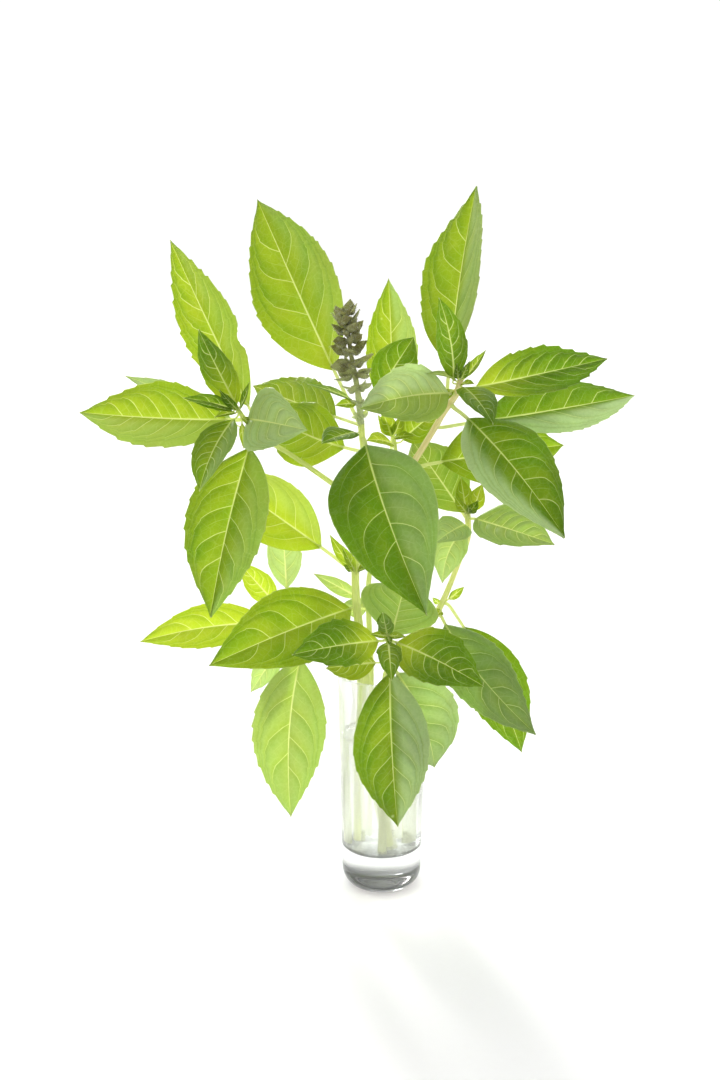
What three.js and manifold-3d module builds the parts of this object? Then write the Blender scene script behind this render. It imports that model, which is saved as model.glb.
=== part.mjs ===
// Basil sprigs standing in a slim glass of water.
// Millimetres, +Z up. The origin is the centre of the glass's underside, on the table.
import * as THREE from 'three';
import * as BufferGeometryUtils from 'three/addons/utils/BufferGeometryUtils.js';
import Module from 'manifold-3d';

const wasm = await Module();
wasm.setup();

// ---- Driving dimensions ----------------------------------------------------------------------
const glassHeight = 100;
const rimRadius = 20;
const baseRadius = 18;
const footRadius = 12;
const heelHeight = 8;
const wall = 1.8;
const floorHeight = 18;
const floorCorner = 2.5;
const lipRound = 0.8;
const waterLevel = 71;
const roundSegments = 48;
const heelSteps = 6;
const cornerSteps = 4;

const gap = 0.35;
const stemSides = 8;
const holeDepthPerGap = 4;

const petioleRadius = 0.8;
const leafTop = 0.25;
const leafKeel = 0.7;
const defaultFold = 14;
const bladeWidest = 0.43;
const bladeRise = 0.85;
const archPlace = 0.45;
const longStalk = 4;
const wideLeaf = 20;
const wideLeafPlaces = [0.08, 0.2, 0.34, 0.5, 0.66, 0.8, 0.92];
const narrowLeafPlaces = [0.12, 0.34, 0.6, 0.86];

// ---- Glass and water -------------------------------------------------------------------------
// Radius of the outer wall at a height, on the straight taper above the rounded heel.
function outerRadius(z) {
  return THREE.MathUtils.mapLinear(z, heelHeight, glassHeight, baseRadius, rimRadius);
}

// Quarter-ellipse points from (r0, z0) to (r1, z1), leaving the first point level.
function levelThenUpright(r0, z0, r1, z1, steps) {
  const points = [];
  for (let i = 1; i <= steps; i += 1) {
    const angle = (Math.PI / 2) * (i / steps);
    points.push(new THREE.Vector2(
      r0 + (r1 - r0) * Math.sin(angle),
      z0 + (z1 - z0) * (1 - Math.cos(angle)),
    ));
  }
  return points;
}

// Turned solid: a lathe profile in (radius, height), stood up so that its axis is Z.
function turned(profile) {
  const geometry = new THREE.LatheGeometry(profile, roundSegments);
  geometry.rotateX(Math.PI / 2);
  return geometry;
}

// Points of the hollow, from the axis out along the floor and up the inner wall to a height.
// An inset moves them in from the glass, for the water.
function hollowProfile(top, inset) {
  const floor = floorHeight + inset;
  const side = (z) => outerRadius(z) - wall - inset;
  const corner = floor + floorCorner;
  return [
    new THREE.Vector2(0, floor),
    new THREE.Vector2(side(corner) - floorCorner, floor),
    ...levelThenUpright(side(corner) - floorCorner, floor, side(corner), corner, cornerSteps),
    new THREE.Vector2(side(top), top),
  ];
}

function glassGeometry() {
  const lipBase = glassHeight - lipRound;
  const outside = [
    new THREE.Vector2(0, 0),
    new THREE.Vector2(footRadius, 0),
    ...levelThenUpright(footRadius, 0, baseRadius, heelHeight, heelSteps),
    new THREE.Vector2(outerRadius(lipBase), lipBase),
    new THREE.Vector2(outerRadius(lipBase) - lipRound, glassHeight),
  ];
  return turned([...outside, ...hollowProfile(lipBase, 0).reverse()]);
}

function waterGeometry() {
  return turned([...hollowProfile(waterLevel, gap), new THREE.Vector2(0, waterLevel)]);
}

// ---- Closed lofts: stems, leaves and buds ----------------------------------------------------
// Rings of points run round the direction of travel, right-handed, between two end points.
function loft(first, rings, last) {
  const sides = rings[0].length;
  const positions = [first, ...rings.flat(), last].flatMap((p) => p.toArray());
  const at = (ring, k) => 1 + ring * sides + (k % sides);
  const end = 1 + rings.length * sides;
  const index = [];
  for (let k = 0; k < sides; k += 1) {
    index.push(0, at(0, k + 1), at(0, k));
    for (let ring = 0; ring < rings.length - 1; ring += 1) {
      index.push(at(ring, k), at(ring, k + 1), at(ring + 1, k + 1));
      index.push(at(ring, k), at(ring + 1, k + 1), at(ring + 1, k));
    }
    index.push(end, at(rings.length - 1, k), at(rings.length - 1, k + 1));
  }
  const geometry = new THREE.BufferGeometry();
  geometry.setAttribute('position', new THREE.Float32BufferAttribute(positions, 3));
  geometry.setIndex(index);
  geometry.computeVertexNormals();
  return geometry;
}

const vector = (p) => new THREE.Vector3(...p);

// Unit vector of `v` square to the unit vector `axis`.
function squareTo(v, axis) {
  return v.clone().addScaledVector(axis, -v.dot(axis)).normalize();
}

// A ring of points round a curve point, square to the curve. It starts level with `ringStart`.
const ringStart = new THREE.Vector3(0.2, -1, 0.1);

function circle(centre, tangent, radius, sides) {
  const up = squareTo(ringStart, tangent);
  const side = up.clone().cross(tangent);
  const points = [];
  for (let k = 0; k < sides; k += 1) {
    const angle = (2 * Math.PI * k) / sides;
    points.push(centre.clone()
      .addScaledVector(side, radius * Math.cos(angle))
      .addScaledVector(up, radius * Math.sin(angle)));
  }
  return points;
}

// A stem is a round rod along a smooth route, tapering from its foot to its top.
// `grow` makes it fatter and its foot longer, to cut its hole in the water.
function stemGeometry(stem, grow = 0) {
  const rings = [];
  for (let i = 0; i <= stem.steps; i += 1) {
    const t = i / stem.steps;
    const centre = stem.curve.getPointAt(t);
    if (i === 0) {
      centre.z -= grow * holeDepthPerGap;
    }
    rings.push(circle(centre, stem.curve.getTangentAt(t), stem.radiusAt(t) + grow, stemSides));
  }
  const ends = [rings[0], rings[rings.length - 1]].map((ring) => {
    const middle = new THREE.Vector3();
    ring.forEach((p) => middle.add(p));
    return middle.divideScalar(ring.length);
  });
  return loft(ends[0], rings, ends[1]);
}

// Outline of a basil blade: half width as a share of the widest, from its base to its tip.
function bladeShape(s) {
  const fall = (bladeRise * (1 - bladeWidest)) / bladeWidest;
  const most = bladeWidest ** bladeRise * (1 - bladeWidest) ** fall;
  return (s ** bladeRise * (1 - s) ** fall) / most;
}

// A leaf with its stalk: six points to a ring, the two edges, three on the upper side and the
// keel of the midrib below. The halves fold up from the midrib by `fold` degrees.
function leafGeometry(start, leaf) {
  const tip = vector(leaf.tip);
  const chord = tip.clone().sub(start).normalize();
  const face = squareTo(vector(leaf.face), chord);
  const middle = start.clone().lerp(tip, archPlace)
    .addScaledVector(face, leaf.arch)
    .addScaledVector(face.clone().cross(chord), leaf.bend);
  const curve = new THREE.QuadraticBezierCurve3(start, middle, tip);
  const stalk = leaf.stalk / curve.getLength();
  const fold = THREE.MathUtils.degToRad(leaf.fold);
  const rings = [];

  const addRing = (u, edge, share) => {
    const centre = curve.getPointAt(u);
    const tangent = curve.getTangentAt(u);
    const up = squareTo(face, tangent);
    const side = up.clone().cross(tangent);
    const tilt = fold * share;
    const put = (across, lift) => centre.clone()
      .addScaledVector(side, across * Math.cos(tilt))
      .addScaledVector(up, lift + Math.abs(across) * Math.sin(tilt));
    const top = THREE.MathUtils.lerp(petioleRadius, leafTop, share);
    const keel = THREE.MathUtils.lerp(petioleRadius, leafKeel, share);
    const upper = [edge / 2, 0, -edge / 2].map((across) => put(across, top));
    rings.push([put(edge, 0), ...upper, put(-edge, 0), put(0, -keel)]);
  };

  const halfWidth = leaf.width / 2;
  addRing(0, petioleRadius, 0);
  if (leaf.stalk > longStalk) {
    addRing(stalk / 2, petioleRadius, 0);
  }
  addRing(stalk, petioleRadius, 0);
  const places = leaf.width > wideLeaf ? wideLeafPlaces : narrowLeafPlaces;
  for (const s of places) {
    const edge = Math.max(halfWidth * bladeShape(s), petioleRadius);
    addRing(stalk + (1 - stalk) * s, edge, 1);
  }
  return loft(start, rings, tip);
}

// ---- Where the stems stand, and what grows from them -----------------------------------------
// A stem has a route and its radius at the foot and the top. A leaf has the place along its stem,
// its tip, its width, the way its upper side looks, and how its midrib arches and bends.
const stems = [
  {
    name: 'main_stem',
    route: [[3, -3, 18.6], [-1, -2, 45], [-5, -1, 75], [-8, -1, 100], [-11, 0, 128], [-12, -2, 146],
      [-7, -6, 176], [-9, -18, 207], [-10, -21, 220]],
    radius: [3, 1.9],
    steps: 14,
    leafName: 'crown_leaf',
    leaves: [
      { at: 0.935, tip: [16, -66, 144], width: 47, face: [-0.15, -0.9, 0.45], arch: 10, bend: -3, stalk: 3 },
      { at: 0.95, tip: [-25, -44, 208], width: 13, face: [-0.2, -0.7, 0.7], arch: 2, stalk: 2 },
      { at: 0.9, tip: [-53, 18, 214], width: 34, face: [0, -0.97, 0.2], arch: 0, bend: 4, fold: 3, stalk: 7 },
      { at: 0.96, tip: [-60, 54, 222], width: 26, face: [0, -0.97, 0.2], arch: -7, fold: 4, stalk: 20 },
      { at: 0.97, tip: [-55, 36, 305], width: 40, face: [-0.25, -0.95, 0.1], arch: 4, stalk: 24 },
      { at: 0.985, tip: [13, 4, 247], width: 19, face: [0.2, -0.85, 0.4], arch: 2, stalk: 9 },
      { at: 0.63, tip: [-76, 24, 186], width: 34, face: [0.1, -0.9, 0.4], arch: 4, stalk: 15 },
    ],
  },
  {
    name: 'left_branch',
    route: [[-10.6, -6.8, 178], [-23, -8, 187], [-39, -12, 199], [-52, -16, 208], [-58, -21, 216],
      [-60, -25, 220]],
    radius: [1.9, 1.2],
    steps: 9,
    leafName: 'left_leaf',
    leaves: [
      { at: 0.74, tip: [-90, 10, 287], width: 30, face: [-0.3, -0.9, 0.2], arch: 3, stalk: 12 },
      { at: 0.77, tip: [-71, -40, 136], width: 38, face: [-0.35, -0.9, 0.3], arch: 7, stalk: 5 },
      { at: 0.9, tip: [-124, -24, 218], width: 32, face: [0, -0.8, 0.6], arch: 5, bend: 5, stalk: 5 },
      { at: 0.9, tip: [-30, -66, 216], width: 27, face: [-0.75, -0.55, 0.35], arch: 6, stalk: 3 },
      { at: 0.96, tip: [-73, -38, 252], width: 14, face: [-0.2, -0.9, 0.2], arch: 2, stalk: 2 },
      { at: 0.96, tip: [-72, -56, 191], width: 17, face: [-0.3, -0.9, 0.3], arch: 4, bend: -3, stalk: 3 },
      { at: 1, tip: [-77, -46, 225], width: 6, face: [-0.3, -0.6, 0.7], arch: 1, stalk: 1 },
      { at: 0.6, tip: [-116, 36, 228], width: 28, face: [0, -0.6, 0.8], arch: 4, stalk: 24 },
    ],
  },
  {
    name: 'right_branch',
    route: [[-2.8, -6.8, 178], [2, -8, 181.5], [11, -10, 193], [26, -16, 219], [30, -20, 226],
      [31, -22, 231]],
    radius: [2.3, 1.6],
    steps: 9,
    leafName: 'right_leaf',
    leaves: [
      { at: 0.8, tip: [40, 24, 310], width: 35, face: [-0.68, -0.72, 0.1], arch: 4, fold: 24, stalk: 16 },
      { at: 0.97, tip: [21, -34, 264], width: 15, face: [0.2, -0.95, 0.1], arch: 2, bend: -3, stalk: 2 },
      { at: 0.93, tip: [95, 2, 238], width: 24, face: [0, -0.8, 0.6], arch: 4, bend: -3, stalk: 5 },
      { at: 0.64, tip: [115, 38, 219], width: 30, face: [0, -0.75, 0.65], arch: 5, bend: -5, stalk: 20 },
      { at: 0.82, tip: [69, -62, 174], width: 33, face: [0.1, -0.85, 0.5], arch: 12, stalk: 10 },
      { at: 0.97, tip: [41, -56, 217], width: 15, face: [0.2, -0.8, 0.5], arch: 4, stalk: 2 },
      { at: 0.9, tip: [-10, -46, 222], width: 26, face: [0.1, -0.9, 0.4], arch: 5, bend: -2, stalk: 2 },
      { at: 0.35, tip: [79, 10, 200], width: 31, face: [0, -0.9, 0.4], arch: 5, stalk: 10 },
    ],
  },
  {
    name: 'right_stem',
    route: [[8, 5, 18.6], [9, 5, 60], [12, 3, 98], [21, 0, 123], [26, 2, 130], [32, 4, 145],
      [38, 5, 162], [37, 4, 171]],
    radius: [2.4, 1.4],
    steps: 14,
    leafName: 'low_right_leaf',
    leaves: [
      { at: 0.985, tip: [14, 40, 198], width: 28, face: [-0.1, -0.9, 0.4], arch: 4, stalk: 3 },
      { at: 0.985, tip: [71, -24, 163], width: 24, face: [0.1, -0.75, 0.65], arch: 5, bend: -3, stalk: 2 },
      { at: 0.97, tip: [21, -22, 163], width: 15, face: [-0.2, -0.9, 0.4], arch: 4, stalk: 2 },
      { at: 0.955, tip: [25, -18, 145], width: 15, face: [-0.1, -0.95, 0.3], arch: 5, bend: -6, stalk: 2 },
      { at: 1, tip: [34, 8, 186], width: 8, face: [0.2, -0.95, 0.2], arch: 1, stalk: 1 },
      { at: 1, tip: [43, 2, 184], width: 8, face: [-0.4, -0.9, 0.1], arch: 1, stalk: 1 },
      { at: 0.7, tip: [64, -36, 84], width: 28, face: [0.1, -0.9, 0.4], arch: 8, bend: -8, stalk: 5 },
      { at: 0.735, tip: [62, -8, 65], width: 28, face: [0.1, -0.95, 0.3], arch: 10, bend: 4, stalk: 12 },
    ],
  },
  {
    name: 'front_stem',
    route: [[0, -9, 18.6], [1, -10.5, 60], [1, -11, 92], [1, -16, 102], [2, -24, 109],
      [2, -38, 117], [2, -50, 126], [1, -57, 133]],
    radius: [2.2, 1.4],
    steps: 14,
    leafName: 'front_leaf',
    leaves: [
      { at: 0.985, tip: [-36, -72, 130], width: 21, face: [-0.1, -0.8, 0.6], arch: 4, stalk: 2 },
      { at: 0.985, tip: [37, -80, 120], width: 25, face: [0.1, -0.8, 0.6], arch: 5, stalk: 2 },
      { at: 1, tip: [2, -82, 123], width: 10, face: [0, -0.9, 0.45], arch: 3, stalk: 1 },
      { at: 1, tip: [-1, -54, 142], width: 6, face: [0, -0.9, -0.3], arch: 1, stalk: 1 },
      { at: 0.87, tip: [6, -44, 46], width: 32, face: [0, -0.98, 0.15], arch: 8, bend: -2, stalk: 5 },
      { at: 0.95, tip: [9, -25, 147], width: 34, face: [0.1, -0.85, 0.5], arch: 2, stalk: 2 },
      { at: 0.82, tip: [22, -28, 66], width: 32, face: [0.2, -0.95, 0.2], arch: 8, bend: 5, stalk: 4 },
      { at: 0.8, tip: [-24, -36, 113], width: 14, face: [0, -0.85, 0.5], arch: 3, stalk: 3 },
    ],
  },
  {
    name: 'centre_stem',
    route: [[-6, 8, 18.6], [-6, 8.5, 60], [-5, 8, 98], [-6, 12, 124], [-6, 17, 137], [1, 25, 168],
      [7, 28, 193], [5, 27, 202]],
    radius: [2.1, 1.3],
    steps: 14,
    leafName: 'centre_leaf',
    leaves: [
      { at: 0.58, tip: [-73, -32, 113], width: 36, face: [0, -0.85, 0.5], arch: 10, stalk: 8 },
      { at: 0.98, tip: [-7, 10, 202], width: 10, face: [0, -0.7, 0.7], arch: 3, stalk: 1 },
      { at: 0.98, tip: [26, 20, 215], width: 16, face: [0, -0.85, 0.5], arch: 3, stalk: 2 },
      { at: 1, tip: [0, 18, 214], width: 8, face: [0, -0.9, 0.3], arch: 1, stalk: 1 },
      { at: 0.92, tip: [3, 46, 271], width: 24, face: [0, -0.97, 0.2], arch: 0, bend: -2, stalk: 24 },
    ],
  },
  {
    name: 'back_stem',
    route: [[-11, 2, 18.6], [-11, 5, 60], [-10, 9, 92], [-12, 13, 103], [-21, 23, 110],
      [-32, 32, 112], [-40, 37, 111], [-45, 38, 109]],
    radius: [1.9, 1.2],
    steps: 14,
    leafName: 'back_leaf',
    leaves: [
      { at: 0.98, tip: [-47, 54, 161], width: 17, face: [0, -0.97, 0.2], arch: 3, stalk: 16 },
      { at: 0.97, tip: [-66, 30, 143], width: 13, face: [0.2, -0.95, 0.2], arch: 2, stalk: 12 },
      { at: 0.98, tip: [-112, 26, 106], width: 22, face: [0, -0.85, 0.5], arch: 5, bend: -5, stalk: 10 },
      { at: 0.995, tip: [-62, 36, 78], width: 12, face: [0, -1, 0.1], arch: 1, stalk: 8 },
      { at: 0.9, tip: [-42, 10, 26], width: 35, face: [0, -0.98, 0.2], arch: 8, bend: -9, stalk: 14 },
    ],
  },
];

for (const stem of stems) {
  stem.curve = new THREE.CatmullRomCurve3(stem.route.map(vector), false, 'centripetal');
  stem.radiusAt = (t) => THREE.MathUtils.lerp(stem.radius[0], stem.radius[1], t);
}

// Where a leaf's stalk starts: beside its stem, or just past the top of it.
function leafStart(stem, leaf) {
  const place = stem.curve.getPointAt(leaf.at);
  const axis = stem.curve.getTangentAt(leaf.at);
  const towards = vector(leaf.tip).sub(place).normalize();
  const reach = stem.radiusAt(leaf.at) + gap + petioleRadius;
  return place.addScaledVector(squareTo(towards, axis), reach);
}

// ---- Flower spike ----------------------------------------------------------------------------
const spike = {
  name: 'flower_spike',
  route: [[-10.3, -21.5, 221], [-12, -22.5, 232], [-14, -24, 243], [-16, -24, 263]],
  radius: [1.7, 0.7],
  steps: 8,
};
const whorlPlaces = [0.12, 0.26, 0.42, 0.54, 0.66, 0.77, 0.87, 0.96];
const calycesPerWhorl = 6;
const calyxLength = 6;
const calyxRadius = 1.7;
const bractsPerWhorl = 2;
const bractLength = 8;
const bractWidth = 3.4;
const bractFlatness = 0.4;
const bractTurn = 0.4;
const liftAtFoot = 0.25;
const liftAtTop = 1.3;
const budSides = 4;
const budRings = [[0.35, 1], [0.8, 0.6]];

// A bud from `root` along `out`: each of its rings stands at a share of its length, with a share
// of its radius, and it ends in a point.
function budGeometry(root, out, length, radius, squash) {
  const side = squareTo(new THREE.Vector3(0, 0, 1), out).cross(out);
  const up = out.clone().cross(side);
  const rings = budRings.map(([along, share]) => {
    const ring = [];
    for (let k = 0; k < budSides; k += 1) {
      const angle = (2 * Math.PI * k) / budSides;
      ring.push(root.clone()
        .addScaledVector(out, length * along)
        .addScaledVector(side, radius * share * Math.cos(angle))
        .addScaledVector(up, radius * share * squash * Math.sin(angle)));
    }
    return ring;
  });
  return loft(root, rings, root.clone().addScaledVector(out, length));
}

function toSolid(geometry) {
  const bare = geometry.clone();
  bare.deleteAttribute('normal');
  bare.deleteAttribute('uv');
  const merged = BufferGeometryUtils.mergeVertices(bare);
  return new wasm.Manifold(new wasm.Mesh({
    numProp: 3,
    vertProperties: new Float32Array(merged.attributes.position.array),
    triVerts: new Uint32Array(merged.index.array),
  }));
}

function fromSolid(solid) {
  const mesh = solid.getMesh();
  const geometry = new THREE.BufferGeometry();
  geometry.setAttribute('position', new THREE.Float32BufferAttribute(mesh.vertProperties, 3));
  geometry.setIndex([...mesh.triVerts]);
  geometry.computeVertexNormals();
  return geometry;
}

function spikeGeometry() {
  spike.curve = new THREE.CatmullRomCurve3(spike.route.map(vector), false, 'centripetal');
  spike.radiusAt = (t) => THREE.MathUtils.lerp(spike.radius[0], spike.radius[1], t);
  let solid = toSolid(stemGeometry(spike));
  whorlPlaces.forEach((t, level) => {
    const root = spike.curve.getPointAt(t);
    const axis = spike.curve.getTangentAt(t);
    const first = squareTo(new THREE.Vector3(1, 0.3, 0), axis);
    const lift = THREE.MathUtils.lerp(liftAtFoot, liftAtTop, t);
    for (let k = 0; k < calycesPerWhorl; k += 1) {
      const turn = (2 * Math.PI * (k + (level % 2) / 2)) / calycesPerWhorl;
      const out = first.clone().applyAxisAngle(axis, turn).addScaledVector(axis, lift).normalize();
      solid = solid.add(toSolid(budGeometry(root, out, calyxLength, calyxRadius, 1)));
    }
    for (let k = 0; k < bractsPerWhorl; k += 1) {
      const turn = Math.PI * (k + (level % 2) / 2) + bractTurn;
      const out = first.clone().applyAxisAngle(axis, turn).addScaledVector(axis, lift / 2).normalize();
      solid = solid.add(toSolid(budGeometry(root, out, bractLength, bractWidth / 2, bractFlatness)));
    }
  });
  return fromSolid(solid);
}

// ---- Assembly --------------------------------------------------------------------------------
const sprigsInGlass = new THREE.Group();

function addPiece(name, geometry, color, roughness, opacity = 1) {
  const material = new THREE.MeshStandardMaterial({
    color, roughness, metalness: 0, opacity, transparent: opacity < 1,
  });
  const mesh = new THREE.Mesh(geometry, material);
  mesh.name = name;
  sprigsInGlass.add(mesh);
}

addPiece('glass', glassGeometry(), 0xe8f0f0, 0.05, 0.25);

// The water fills the hollow up to its level, round the stems that stand in it.
let water = toSolid(waterGeometry());
const standing = stems.filter((stem) => stem.route[0][2] < waterLevel);
for (const stem of standing) {
  water = water.subtract(toSolid(stemGeometry(stem, gap)));
}
addPiece('water', fromSolid(water), 0xf2f7ee, 0.05, 0.3);

for (const stem of stems) {
  addPiece(stem.name, stemGeometry(stem), 0xb5c878, 0.5);
  stem.leaves.forEach((entry, number) => {
    const leaf = { bend: 0, fold: defaultFold, ...entry };
    addPiece(`${stem.leafName}_${number + 1}`, leafGeometry(leafStart(stem, leaf), leaf), 0x86ad38, 0.45);
  });
}

addPiece(spike.name, spikeGeometry(), 0x6f7048, 0.8);

export default sprigsInGlass;
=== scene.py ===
import math

import bmesh
import bpy
import numpy as np
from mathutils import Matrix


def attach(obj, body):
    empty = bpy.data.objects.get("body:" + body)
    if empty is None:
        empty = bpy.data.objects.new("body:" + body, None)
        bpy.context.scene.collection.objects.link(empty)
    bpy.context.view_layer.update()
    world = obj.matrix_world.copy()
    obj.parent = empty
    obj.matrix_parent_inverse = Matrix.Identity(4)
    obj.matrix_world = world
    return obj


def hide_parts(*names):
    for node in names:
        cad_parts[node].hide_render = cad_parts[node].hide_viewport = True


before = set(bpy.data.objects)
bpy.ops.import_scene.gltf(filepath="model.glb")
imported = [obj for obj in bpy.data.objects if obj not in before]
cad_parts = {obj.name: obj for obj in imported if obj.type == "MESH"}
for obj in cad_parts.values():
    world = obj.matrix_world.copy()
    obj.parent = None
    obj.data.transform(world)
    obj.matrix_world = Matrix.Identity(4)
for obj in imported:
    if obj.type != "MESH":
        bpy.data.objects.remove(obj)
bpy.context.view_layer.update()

# ---- Glass -----------------------------------------------------------------------------------
# A slim clear drinking glass, pressed in one piece with a solid base, a rounded heel and a
# fire-polished rim. Its walls are a little wavy, as pressed glass is. Near the foot a dark grey is
# painted into the glass: painted shade and a painted reflection of what is round a thick clear base.
mm = 0.001
glass_height = 100 * mm
rim_radius = 20 * mm
heel_radius = 18 * mm
heel_height = 8 * mm
foot_radius = 12 * mm
punt_height = 0.7 * mm
wall = 1.8 * mm
inside_floor = 18 * mm
inside_corner = 2.5 * mm
turned_sides = 144


def put(tree, kind, inputs=None, **settings):
    """Adds a node. An input given a socket is linked to it, and any other value is set."""
    made = tree.nodes.new(kind)
    for name, value in settings.items():
        setattr(made, name, value)
    for key, value in (inputs or {}).items():
        if isinstance(value, bpy.types.NodeSocket):
            tree.links.new(value, made.inputs[key])
        else:
            made.inputs[key].default_value = value
    return made


def maths(tree, operation, a, b=0.0, c=0.0, clamp=False):
    made = put(tree, "ShaderNodeMath", {0: a, 1: b, 2: c}, operation=operation, use_clamp=clamp)
    return made.outputs[0]


def eased(tree, value, low, high, first=0.0, last=1.0):
    """value, turned smoothly from first to last as it goes from low to high."""
    made = put(tree, "ShaderNodeMapRange", {0: value, 1: low, 2: high, 3: first, 4: last},
               interpolation_type="SMOOTHSTEP")
    return made.outputs[0]


def mixed(tree, share, a, b):
    """Colour a, turning to colour b by share."""
    made = put(tree, "ShaderNodeMix", {0: share, 6: a, 7: b}, data_type="RGBA")
    return made.outputs[2]


def new_material(name):
    material = bpy.data.materials.new(name)
    material.use_nodes = True
    tree = material.node_tree
    tree.nodes.clear()
    return material, tree, put(tree, "ShaderNodeOutputMaterial")


def finished(name, mesh, material, slot, *nodes):
    """A piece of the model from a finished mesh, standing for its CAD nodes."""
    piece = bpy.data.objects.new(name, mesh)
    bpy.context.scene.collection.objects.link(piece)
    mesh.materials.clear()
    mesh.materials.append(material)
    mesh.polygons.foreach_set("use_smooth", np.ones(len(mesh.polygons), bool))
    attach(piece, "root")
    if nodes:
        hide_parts(*nodes)
    return piece


def quarter(r0, z0, r1, z1, steps, level_first=True):
    """Points of a quarter ellipse from (r0, z0) to (r1, z1), leaving the first end level or upright."""
    points = []
    for i in range(1, steps + 1):
        angle = math.pi / 2 * i / steps
        a, b = math.sin(angle), 1 - math.cos(angle)
        if not level_first:
            a, b = b, a
        points.append((r0 + (r1 - r0) * a, z0 + (z1 - z0) * b))
    return points


def turned(name, profile):
    """A closed body turned about the upright axis, from (radius, height) points on from and back to it."""
    mesh = bpy.data.meshes.new(name)
    shape = bmesh.new()
    ends = [shape.verts.new((0, 0, z)) for z in (profile[0][1], profile[-1][1])]
    rings = []
    for radius, height in profile[1:-1]:
        ring = []
        for k in range(turned_sides):
            angle = 2 * math.pi * k / turned_sides
            ring.append(shape.verts.new((radius * math.cos(angle), radius * math.sin(angle), height)))
        rings.append(ring)
    for k in range(turned_sides):
        n = (k + 1) % turned_sides
        shape.faces.new((ends[0], rings[0][n], rings[0][k]))
        for low, high in zip(rings, rings[1:]):
            shape.faces.new((low[k], low[n], high[n], high[k]))
        shape.faces.new((ends[1], rings[-1][k], rings[-1][n]))
    bmesh.ops.recalc_face_normals(shape, faces=shape.faces)
    shape.to_mesh(mesh)
    shape.free()
    return mesh


def outer_radius(height):
    share = (height - heel_height) / (glass_height - heel_height)
    return heel_radius + (rim_radius - heel_radius) * share


def hollow(top, spread):
    """The hollow's profile from the axis to a height on its wall. spread moves it into the glass."""
    floor = inside_floor - spread
    corner = floor + inside_corner
    side = outer_radius(corner) - wall + spread
    turn = quarter(side - inside_corner, floor, side, corner, 8)
    level = [(r, floor) for r in np.linspace(0, side - inside_corner, 8)]
    upright = [(outer_radius(z) - wall + spread, z) for z in np.linspace(corner, top, 24)[1:]]
    return level + turn + upright


lip = wall / 2
lip_centre = outer_radius(glass_height) - lip
foot = [(0, punt_height), (foot_radius * 0.5, punt_height * 0.9), (foot_radius * 0.86, punt_height * 0.3)]
foot += [(foot_radius * 0.94, 0), (foot_radius, 0)]
heel = quarter(foot_radius, 0, heel_radius, heel_height, 16)
side = [(outer_radius(z), z) for z in np.linspace(heel_height, glass_height - lip, 24)[1:]]
rim = [(lip_centre + lip * math.cos(a), glass_height - lip + lip * math.sin(a))
       for a in np.linspace(0, math.pi, 10)[1:-1]]
glass_mesh = turned("glass_turned", foot + heel + side + rim + hollow(glass_height - lip, 0)[::-1])

glass_finish, tree, output = new_material("clear_pressed_glass")
place = put(tree, "ShaderNodeTexCoord").outputs["Object"]
swirl = put(tree, "ShaderNodeTexNoise", {"Vector": place, "Scale": 120.0, "Detail": 1.0})
smears = put(tree, "ShaderNodeTexNoise", {"Vector": place, "Scale": 260.0, "Detail": 3.0})
ripple = put(tree, "ShaderNodeBump", {"Height": swirl.outputs[0], "Strength": 0.05, "Distance": 0.4 * mm})
height = put(tree, "ShaderNodeSeparateXYZ", {0: place}).outputs[2]
streaky = put(tree, "ShaderNodeMapping", {"Vector": place, "Scale": (70.0, 420.0, 420.0)}).outputs[0]
streaks = put(tree, "ShaderNodeTexNoise", {"Vector": streaky, "Scale": 1.0, "Detail": 2.0}).outputs[0]
# A streaked dark grey painted into the foot, a painted shade and reflection for a thick clear base.
foot_painted_shade = mixed(tree, eased(tree, streaks, 0.4, 0.62), (0.035, 0.038, 0.042, 1), (0.22, 0.23, 0.24, 1))
glass_tint = mixed(tree, smears.outputs[0], (0.965, 0.985, 0.975, 1), (0.985, 0.995, 0.99, 1))
glass_shader = put(tree, "ShaderNodeBsdfPrincipled", {
    "Base Color": glass_tint,
    "Roughness": eased(tree, smears.outputs[0], 0.5, 0.8, 0.0, 0.03),
    "IOR": 1.5,
    "Transmission Weight": 1.0,
    "Normal": ripple.outputs[0],
})


most_surfaces = 7.5


def lets_light_on(tree, shader, output, tint, faint):
    """Clear glass or water, faint by a share. Light from the lamps passes straight through it,
    tinted, and so does light that has already been through many surfaces."""
    passing = put(tree, "ShaderNodeBsdfTransparent", {0: tint})
    clear = put(tree, "ShaderNodeBsdfTransparent", {0: (1, 1, 1, 1)})
    path = put(tree, "ShaderNodeLightPath").outputs
    tired = maths(tree, "GREATER_THAN", path["Ray Depth"], most_surfaces)
    made = put(tree, "ShaderNodeMixShader", {
        0: maths(tree, "MAXIMUM", tired, faint), 1: shader.outputs[0], 2: clear.outputs[0],
    })
    made = put(tree, "ShaderNodeMixShader", {
        0: path["Is Shadow Ray"], 1: made.outputs[0], 2: passing.outputs[0],
    })
    tree.links.new(made.outputs[0], output.inputs[0])


# In the lowest 6 mm the painted dark grey takes up to 85 per cent of the glass's shading.
foot_shade_shader = put(tree, "ShaderNodeBsdfPrincipled", {"Base Color": foot_painted_shade, "Roughness": 0.25})
foot_shade_share = eased(tree, height, 1.2 * mm, 6.0 * mm, 0.85, 0.0)
seen_glass = put(tree, "ShaderNodeMixShader", {
    0: foot_shade_share, 1: glass_shader.outputs[0], 2: foot_shade_shader.outputs[0],
})
shade = mixed(tree, eased(tree, height, 8 * mm, 34 * mm), (0.98, 0.95, 0.93, 1), (0.50, 0.51, 0.53, 1))
lets_light_on(tree, seen_glass, output, shade, eased(tree, height, 20 * mm, 75 * mm, 0.0, 0.6))
finished("glass_body", glass_mesh, glass_finish, "glass", "glass")

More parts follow.
